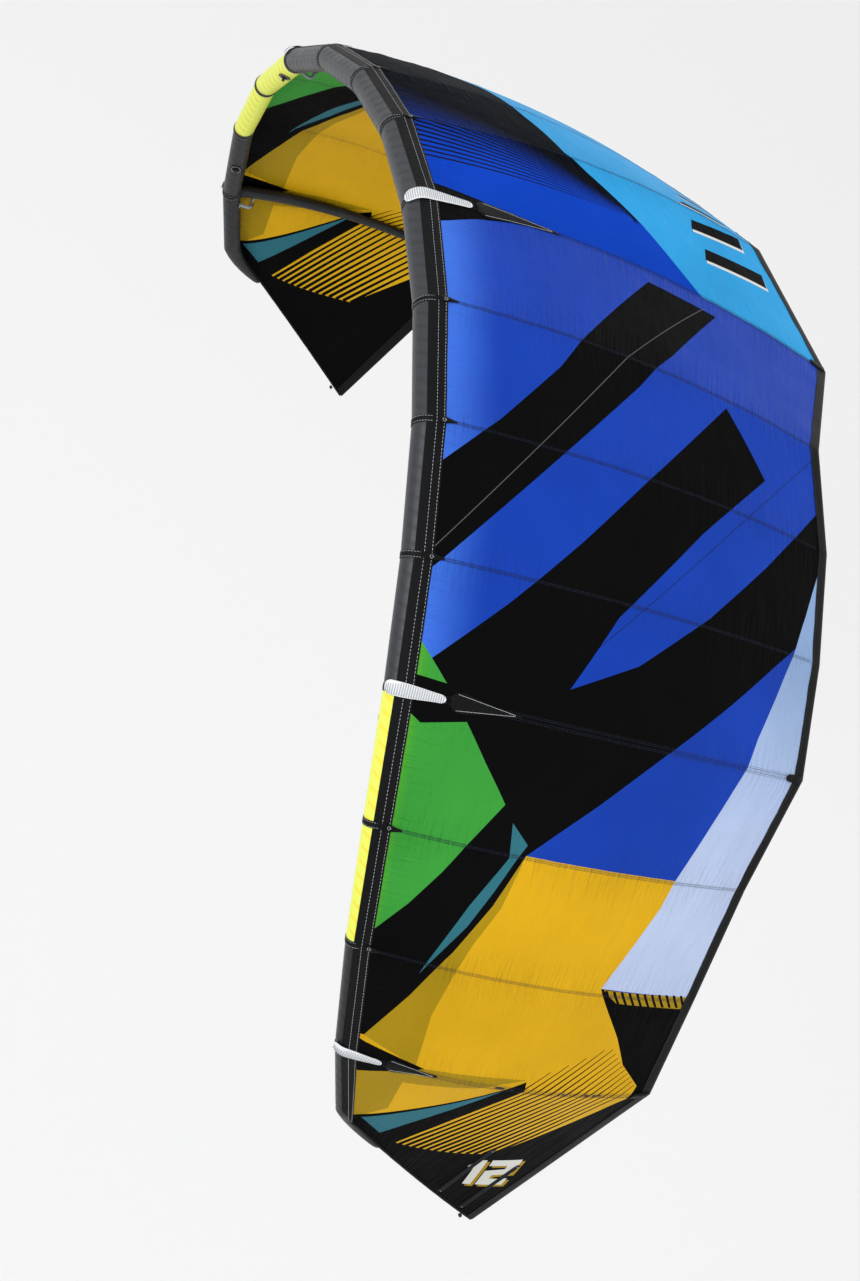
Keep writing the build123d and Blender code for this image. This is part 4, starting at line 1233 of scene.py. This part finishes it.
def pad_sections(rib, shrink):
    """Even sections of a scuff pad: centre, outward direction, half width and height."""
    line = pad_line(rib, 0.0052, PAD_TAIL * shrink)
    lengths = [0.0]
    for (a, _), (b, _) in zip(line, line[1:]):
        lengths.append(lengths[-1] + (b - a).length)
    total, sections, k = lengths[-1], [], 0
    for n in range(61):
        goal = total * n / 60
        while k < len(lengths) - 2 and lengths[k + 1] < goal:
            k += 1
        t = (goal - lengths[k]) / (lengths[k + 1] - lengths[k])
        point = line[k][0].lerp(line[k + 1][0], t)
        way = line[k][1].lerp(line[k + 1][1], t).normalized()
        front, rear = min(1.0, goal / 0.030), min(1.0, (total - goal) / 0.022)
        taper = 1 - 0.42 * smooth(0.25 * total, total, goal)
        rounded = math.sqrt(max(0.0, (2 - front) * front * (2 - rear) * rear))
        half = PAD_HALF_WIDTH * shrink * taper * rounded
        sections.append((point, way, half, total))
    return sections


class KITE_OT_pads(bpy.types.Operator):
    """Mould the ribbed scuff pads over the leading edge at each strut"""

    bl_idname = "kite.pads"
    bl_label = "Scuff Pads"

    def execute(self, context):
        white = moulded("Scuff Rubber", linear(236, 239, 242), 0.5)
        profile = ((-1, 0), (-0.96, 0.55), (-0.80, 0.86), (-0.5, 0.97), (0, 1.0), (0.5, 0.97),
                   (0.80, 0.86), (0.96, 0.55), (1, 0), (0.5, 0), (-0.5, 0))
        ribs, pads = [], []
        for order, i in enumerate(STRUT_RIBS):
            rib, shrink = ROW[i], 1 - 0.12 * order
            sections = pad_sections(rib, shrink)
            for right in wings(i):
                rings, coords, row = [], [], []
                for n, (point, way, half, total) in enumerate(sections):
                    half = max(half, 0.0008)
                    ring, edge = [], min(1.0, half / 0.010)
                    for z, h in profile:
                        rise = 0.0036 * h * edge
                        ring.append(mirrored(point + rib.tangent * z * half + way * rise, right))
                    rings.append(ring)
                    coords.append((total * n / 60, 0.1))
                    if 3 <= n <= 57:
                        row.append((mirrored(point + way * 0.0034, right), mirrored(way, right),
                                    half / PAD_HALF_WIDTH))
                end = f"{STRUT_NAMES[order]}_{side_name(right)}" if i else "middle"
                pad = lofted(f"scuff_pad_{end}", rings, coords, [white], caps=True)
                pads.append(ride(pad, "scuff"))
                ribs.append(row)
        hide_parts("scuff_pads")
        grip = moulded("Scuff Ribs", linear(178, 183, 188), 0.55)
        raised = rows_piece("scuff_pad_ribs", ribs, 0.0085, 0.0038, 0.050, 0.0030, grip, sides=8)
        ride(raised, "scuff")
        return {"FINISHED"}


def skin_patch(name, place, start, outline, lift, thickness, material, slot):
    """A flat shape of (back, across) metres, laid on the cloth from a share and made thick."""
    flat = [Vector(p) for p in dense(outline, 0.012, 0.012)]
    hem = list(range(len(flat)))
    low_x, high_x = min(p.x for p in flat), max(p.x for p in flat)
    low_y, high_y = min(p.y for p in flat), max(p.y for p in flat)
    for i in range(1, int((high_x - low_x) / 0.012)):
        for k in range(1, int((high_y - low_y) / 0.012)):
            flat.append(Vector((low_x + 0.012 * i, low_y + 0.012 * k)))
    points, _, faces, _, _, _ = delaunay_2d_cdt(flat, [], [hem], 1, 1e-6)
    chord = ribs_at(place)[1].arc_length
    made = []
    for p in points:
        share = start + p.x / chord
        spot = max(-8, min(8, moved(place, share, p.y)))
        made.append(skin_point(spot, share, lift))
    corners = [[(points[v].x, points[v].y) for v in face] for face in faces]
    way = skin_way(place, start)
    patch = piece_from(name, made, faces, [material], None, corners, outward=lambda c: way)
    thicken(patch, thickness)
    ride(patch, slot)
    area = sum(abs(a.x * (b.y - c.y) + b.x * (c.y - a.y) + c.x * (a.y - b.y)) / 2
               for a, b, c in ([points[v] for v in f[:3]] for f in faces))
    return patch


def leaf(length, width, tip):
    """Outline of a spearhead: rounded shoulders in front, drawn out to a point behind."""
    half = width / 2
    return [(0, -half * 0.45), (length * 0.06, -half * 0.85), (length * 0.14, -half),
            (length * 0.30, -half * 0.80), (length * 0.62, -half * 0.36), (length, -tip / 2),
            (length, tip / 2), (length * 0.62, half * 0.36), (length * 0.30, half * 0.80),
            (length * 0.14, half), (length * 0.06, half * 0.85), (0, half * 0.45)]


class KITE_OT_patches(bpy.types.Operator):
    """Sew on the fairings behind the pads, the seam tabs and the patches at the struts' ends"""

    bl_idname = "kite.patches"
    bl_label = "Patches"

    def execute(self, context):
        dark = cloth("Patch Cloth", linear(11, 12, 13), seams=0.0)
        patch = [(0, -0.006), (0.010, -0.013), (0.030, -0.015), (0.084, -0.015), (0.084, 0.015),
                 (0.030, 0.015), (0.010, 0.013), (0, 0.006)]
        tab = [(0, -0.012), (0.024, -0.013), (0.070, -0.002), (0.070, 0.002), (0.024, 0.013),
               (0, 0.012)]
        fairings, ends, tabs, rows = [], [], [], []
        for order, i in enumerate(STRUT_RIBS):
            rib, shrink = ROW[i], 1 - 0.12 * order
            for right in wings(i):
                place = -i if right else i
                end = f"{STRUT_NAMES[order]}_{side_name(right)}" if i else "middle"
                start = (PAD_TAIL * shrink + 0.016) / rib.arc_length
                length = FAIRING_LENGTH * shrink**2
                fairings.append(skin_patch(f"strut_fairing_{end}", place, start,
                                           leaf(length, FAIRING_WIDTH * shrink, 0.010), 0.0012,
                                           0.0012, dark, "trim"))
                for edge in (-0.75, 0.75):
                    row = []
                    for k in range(12):
                        x = length * (0.10 + 0.80 * k / 11)
                        z = edge * 0.042 * shrink * (1 - 0.92 * k / 11)
                        share = start + x / rib.arc_length
                        row.append(skin_spot(moved(place, share, z), share, 0.0028))
                    rows.append(row)
                ends.append(skin_patch(f"strut_end_patch_{end}", place, 1 - 0.085 / rib.arc_length,
                                       patch, 0.0040, 0.0014, dark, "trim"))
        for i in (1, 2, 3, 5, 6):
            for right in wings(i):
                place, chord = -i if right else i, ROW[i].arc_length
                tabs.append(skin_patch(f"seam_tab_{i}_{side_name(right)}", place, 0.012 / chord,
                                       tab, 0.0026, 0.0012, dark, "trim"))
                ring = []
                for k in range(17):
                    turn = 2 * math.pi * k / 16
                    share = (0.012 + 0.022 + 0.0055 * math.cos(turn)) / chord
                    spot = moved(place, share, 0.0055 * math.sin(turn))
                    ring.append(skin_spot(spot, share, 0.0040))
                rows.append(ring)
        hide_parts("strut_fairings")
        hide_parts("strut_end_patches")
        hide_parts("seam_tabs")
        stitches = rows_piece("patch_stitches", rows, 0.0060, 0.0045, 0.0016, 0.0009,
                              light_thread())
        ride(stitches, "trim")
        return {"FINISHED"}


class KITE_OT_stitches(bpy.types.Operator):
    bl_idname = "kite.stitches"
    bl_label = "Stitches"

    def execute(self, context):
        trim = context.scene.kite_trim
        step, width = trim.stitch_step, trim.stitch_width
        seams = []
        for i in range(-7, 8):
            on_strut = abs(i) in STRUT_RIBS
            for offset in (-0.012, -0.006, 0.006, 0.012) if on_strut else (-0.003, 0.003):
                row = []
                for k in range(61):
                    share = 0.035 + 0.93 * k / 60
                    row.append(skin_spot(moved(i, share, offset), share, 0.0005))
                seams.append(row)
        dusky = moulded("Dusky Thread", linear(30, 36, 58), 0.6, 1.0)
        sewn = ride(rows_piece("canopy_stitches", seams, step, step * 0.62, width, 0.0007,
                               dusky, sides=5), "canopy")
        strip = [along_row(share_for(d), lift=0.0019) for d in (0.008, 0.035)]
        front = ride(rows_piece("strip_stitches", strip, step * 1.3, step * 0.8, width * 1.1,
                                0.0008, light_thread(), sides=5), "binding")
        rear = [along_row(lambda p, d=d: 1 - share_for(d)(p), lift=0.0020)
                for d in (0.036, 0.030)]
        grey = moulded("Dark Thread", linear(52, 54, 58), 0.6, 1.0)
        back = ride(rows_piece("binding_stitches", rear, step, step * 0.62, width, 0.0007,
                               grey, sides=5), "binding")
        area = 2 * sum((a.arc_length + b.arc_length) / 2 * (b.centre - a.centre).length
                       for a, b in zip(ROW, ROW[1:]))
        return {"FINISHED"}


def centre_of(node):
    """Middle of a CAD node."""
    points = [v.co for v in NODES[node].data.vertices]
    low = Vector(min(p[i] for p in points) for i in range(3))
    high = Vector(max(p[i] for p in points) for i in range(3))
    return (low + high) / 2


def loop_frames():
    """Centre, hole direction and outward direction of each line loop, on the left wing."""
    frames = {}
    for name, share in (("inner", 0.545), ("outer", 0.835)):
        i = max(k for k, rib in enumerate(ROW[:-1]) if rib.share <= share)
        a, b = ROW[i], ROW[i + 1]
        t = (share - a.share) / (b.share - a.share)
        axis, radial = tube_way(t, LOOP_ANGLE, a, b)
        foot = a.centre.lerp(b.centre, t) + radial * (a.radius + (b.radius - a.radius) * t)
        frames[name] = (foot, axis, radial)
    return frames


def webbing_ring(name, centre, hole, material):
    """A loop of flat webbing with soft edges, round a bore."""
    side = hole.orthogonal().normalized()
    rings, coords = [], []
    profile = ((6.0, -4.4), (6.0, 4.4), (6.4, 5.0), (7.5, 5.0), (8.0, 4.4), (8.0, -4.4),
               (7.5, -5.0), (6.4, -5.0))
    for k in range(33):
        turn = 2 * math.pi * (k % 32) / 32
        way = side * math.cos(turn) + hole.cross(side) * math.sin(turn)
        rings.append([centre + way * (r / 1000) + hole * (z / 1000) for r, z in profile])
        coords.append((0.045 * k / 32, 0.026))
    ring = lofted(name, rings, coords, [material])
    return ride(ring, "webbing")


class KITE_OT_attachments(bpy.types.Operator):
    """Make the webbing loops for the lines and the round patches that hold them"""

    bl_idname = "kite.attachments"
    bl_label = "Line Attachments"

    def execute(self, context):
        webbing = moulded("Black Webbing", linear(26, 27, 30), 0.7, 1.0)
        dark = cloth("Patch Cloth", linear(11, 12, 13), seams=0.0)
        dome = ((0.0, 0.0024), (0.008, 0.0024), (0.016, 0.0024), (0.0235, 0.0022),
                (0.026, 0.0010), (0.026, 0.0004))
        rows, patches, rings = [], [], {}
        for name, (foot, axis, radial) in loop_frames().items():
            across = radial.cross(axis)
            for right in (False, True):
                end, centre = side_name(right), mirrored(foot + radial * 0.0112, right)
                ring = webbing_ring(f"front_loop_{name}_{end}", centre, mirrored(across, right),
                                    webbing)
                rings.setdefault(f"front_line_loops_{name}", []).append(ring)
                loops, coords = [], []
                for radius, lift in dome:
                    loop = []
                    for k in range(40):
                        turn = 2 * math.pi * k / 40
                        x, y = radius * math.cos(turn), radius * math.sin(turn)
                        loop.append(mirrored(foot + axis * x + across * y + radial * lift, right))
                    loops.append(loop)
                    coords.append((radius, 2 * math.pi * 0.02))
                disc = lofted(f"anchor_patch_{name}_{end}", loops, coords, [dark],
                              outward=lambda c, w=mirrored(radial, right): w)
                patches.append(ride(disc, "webbing"))
                for radius in (0.0215, 0.0185):
                    row = []
                    for k in range(37):
                        turn = 2 * math.pi * k / 36
                        x, y = radius * math.cos(turn), radius * math.sin(turn)
                        point = foot + axis * x + across * y + radial * 0.0026
                        row.append((mirrored(point, right), mirrored(radial, right), 1.0))
                    rows.append(row)
        tip = ROW[-1]
        for right in (False, True):
            origin = tip.skin(0.94, 0.00075) + tip.side * 0.0186
            ring = webbing_ring(f"back_loop_{side_name(right)}", mirrored(origin, right),
                                mirrored(tip.side, right), webbing)
            rings.setdefault("back_line_loops", []).append(ring)
        for node, made in rings.items():
            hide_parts(node)
        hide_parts("line_anchor_patches")
        stitches = rows_piece("anchor_stitches", rows, 0.005, 0.0036, 0.0011, 0.0008,
                              light_thread())
        ride(stitches, "webbing")
        return {"FINISHED"}


def fitting_kind(name):
    """Which finish a CAD node takes, by its name; the ones that stay covered take film."""
    for words, kind in (("valve_cap", "cap"), ("_valve", "valve"), ("hoses", "hose"),
                        ("clip_bases", "clip_base"), ("clip_lever", "lever"), ("zip_tape", "zip"),
                        ("zip_slider", "slider"), ("tip_battens", "batten")):
        if words in name:
            return kind
    return "bladder"


class KITE_OT_fittings(bpy.types.Operator):
    """Give the valves, caps, hoses, clips, zip, battens and bladders their finishes"""

    bl_idname = "kite.fittings"
    bl_label = "Fittings"

    def execute(self, context):
        finishes = {
            "valve": moulded("Valve Plastic", linear(70, 74, 80), 0.38),
            "cap": moulded("Cap Rubber", linear(40, 42, 46), 0.55),
            "hose": moulded("Hose Silicone", linear(150, 156, 160), 0.35, 0.6),
            "clip_base": moulded("Clip Plastic", linear(214, 92, 30), 0.36),
            "lever": moulded("Lever Plastic", linear(36, 38, 42), 0.36),
            "zip": moulded("Zip Tape", linear(30, 31, 33), 0.75, 1.0),
            "slider": moulded("Slider Metal", linear(150, 150, 152), 0.3, Metallic=1.0),
            "batten": moulded("Batten Rod", linear(176, 178, 176), 0.42),
            "bladder": moulded("Bladder Film", linear(196, 208, 214), 0.25),
        }
        for name, node in NODES.items():
            finish = finishes[fitting_kind(name)]
            for i in range(max(1, len(node.material_slots))):
                if not node.material_slots:
                    node.data.materials.append(finish)
                node.material_slots[i].material = finish
        tape = centre_of("zip_tape")
        low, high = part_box("zip_tape")
        a, b = ROW[0], ROW[1]
        ends = []
        for t in (0.18, 0.82):
            _, radial = tube_way(t, ZIP_ANGLE, a, b)
            reach = a.radius + (b.radius - a.radius) * t + 0.0009 + 0.0016
            ends.append(mirrored(a.centre.lerp(b.centre, t) + radial * reach, True))
            way = mirrored(radial, True)
        if (ends[0].lerp(ends[1], 0.5) - tape).length > 0.02 or high.x - low.x < 0.1:
            raise RuntimeError("the zip's teeth don't lie on its tape")
        line = (ends[1] - ends[0]).normalized()
        across = line.cross(way)
        rows = [[(ends[0].lerp(ends[1], k / 8) + across * side, way, 1.0) for k in range(9)]
                for side in (-0.0011, 0.0011)]
        teeth = rows_piece("zip_teeth", rows, 0.0026, 0.0014, 0.0026, 0.0005,
                           moulded("Zip Teeth", linear(60, 62, 66), 0.4), sides=4)
        ride(teeth, "zip")
        return {"FINISHED"}


class KITE_OT_battens(bpy.types.Operator):
    """Sew a pocket over each batten at the wing tips"""

    bl_idname = "kite.battens"
    bl_label = "Batten Pockets"

    def execute(self, context):
        grey = cloth("Pocket Cloth", linear(34, 36, 40), seams=0.0)
        profile = ((-0.011, 0.0), (-0.0075, 0.0006), (-0.0045, 0.0036), (-0.002, 0.0066),
                   (0.0, 0.0071), (0.002, 0.0066), (0.0045, 0.0036), (0.0075, 0.0006), (0.011, 0.0))
        tip, outer = ROW[-1], ROW[-2]
        for n, share in enumerate(BATTEN_SHARES):
            lift = SKIN_TOP + 0.0009 + 0.003
            end, root = tip.skin(share, lift), outer.skin(share, lift)
            inward = (root - end).normalized()
            up = tip.skin_out(share)
            up = (up - inward * up.dot(inward)).normalized()
            across = inward.cross(up)
            for right in (False, True):
                rings, coords = [], []
                for k in range(41):  # open at both ends, which lie down on the cloth
                    along = 0.015 + POCKET_LENGTH * k / 40
                    centre = end + inward * along
                    edge = min(1.0, k / 2, (40 - k) / 2)
                    ring = [centre + across * x + up * (y * edge - 0.0026) for x, y in profile]
                    rings.append([mirrored(p, right) for p in ring])
                    coords.append((along, 0.024))
                pocket = lofted(f"batten_pocket_{n + 1}_{side_name(right)}", rings, coords, [grey],
                                closed=False,
                                outward=lambda c, w=mirrored(up, right): w)
                ride(pocket, "trim")
        return {"FINISHED"}


class KITE_PT_looks(bpy.types.Panel):
    """The kite's sizes and the buttons that build its pieces"""

    bl_idname = "KITE_PT_looks"
    bl_label = "Inflatable Kite"
    bl_space_type = "VIEW_3D"
    bl_region_type = "UI"
    bl_category = "Kite"

    def draw(self, context):
        for name, group in SETTINGS.items():
            box = self.layout.box()
            for label in group.__annotations__:
                box.prop(getattr(context.scene, name), label)
        for operator in STEPS:
            self.layout.operator(operator.bl_idname)


SETTINGS = {
    "kite_stage": KiteStageSettings,
    "kite_canopy": KiteCanopySettings,
    "kite_tubes": KiteTubeSettings,
    "kite_trim": KiteTrimSettings,
}
STEPS = (
    KITE_OT_stage, KITE_OT_fittings, KITE_OT_canopy, KITE_OT_edges, KITE_OT_sleeve, KITE_OT_struts,
    KITE_OT_bands, KITE_OT_pads, KITE_OT_patches, KITE_OT_battens, KITE_OT_attachments,
    KITE_OT_stitches,
)


def register():
    for group in SETTINGS.values():
        bpy.utils.register_class(group)
    for name, group in SETTINGS.items():
        setattr(bpy.types.Scene, name, PointerProperty(type=group))
    for cls in (*STEPS, KITE_PT_looks):
        bpy.utils.register_class(cls)


def unregister():
    for cls in (KITE_PT_looks, *reversed(STEPS)):
        bpy.utils.unregister_class(cls)
    for name, group in SETTINGS.items():
        delattr(bpy.types.Scene, name)
        bpy.utils.unregister_class(group)


def main():
    register()
    for operator in STEPS:
        area, name = operator.bl_idname.split(".")
        getattr(getattr(bpy.ops, area), name)()
    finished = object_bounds()
    [[list(p) for p in pair] for pair in (START_BOUNDS, finished)]


if __name__ == "__main__":
    main()
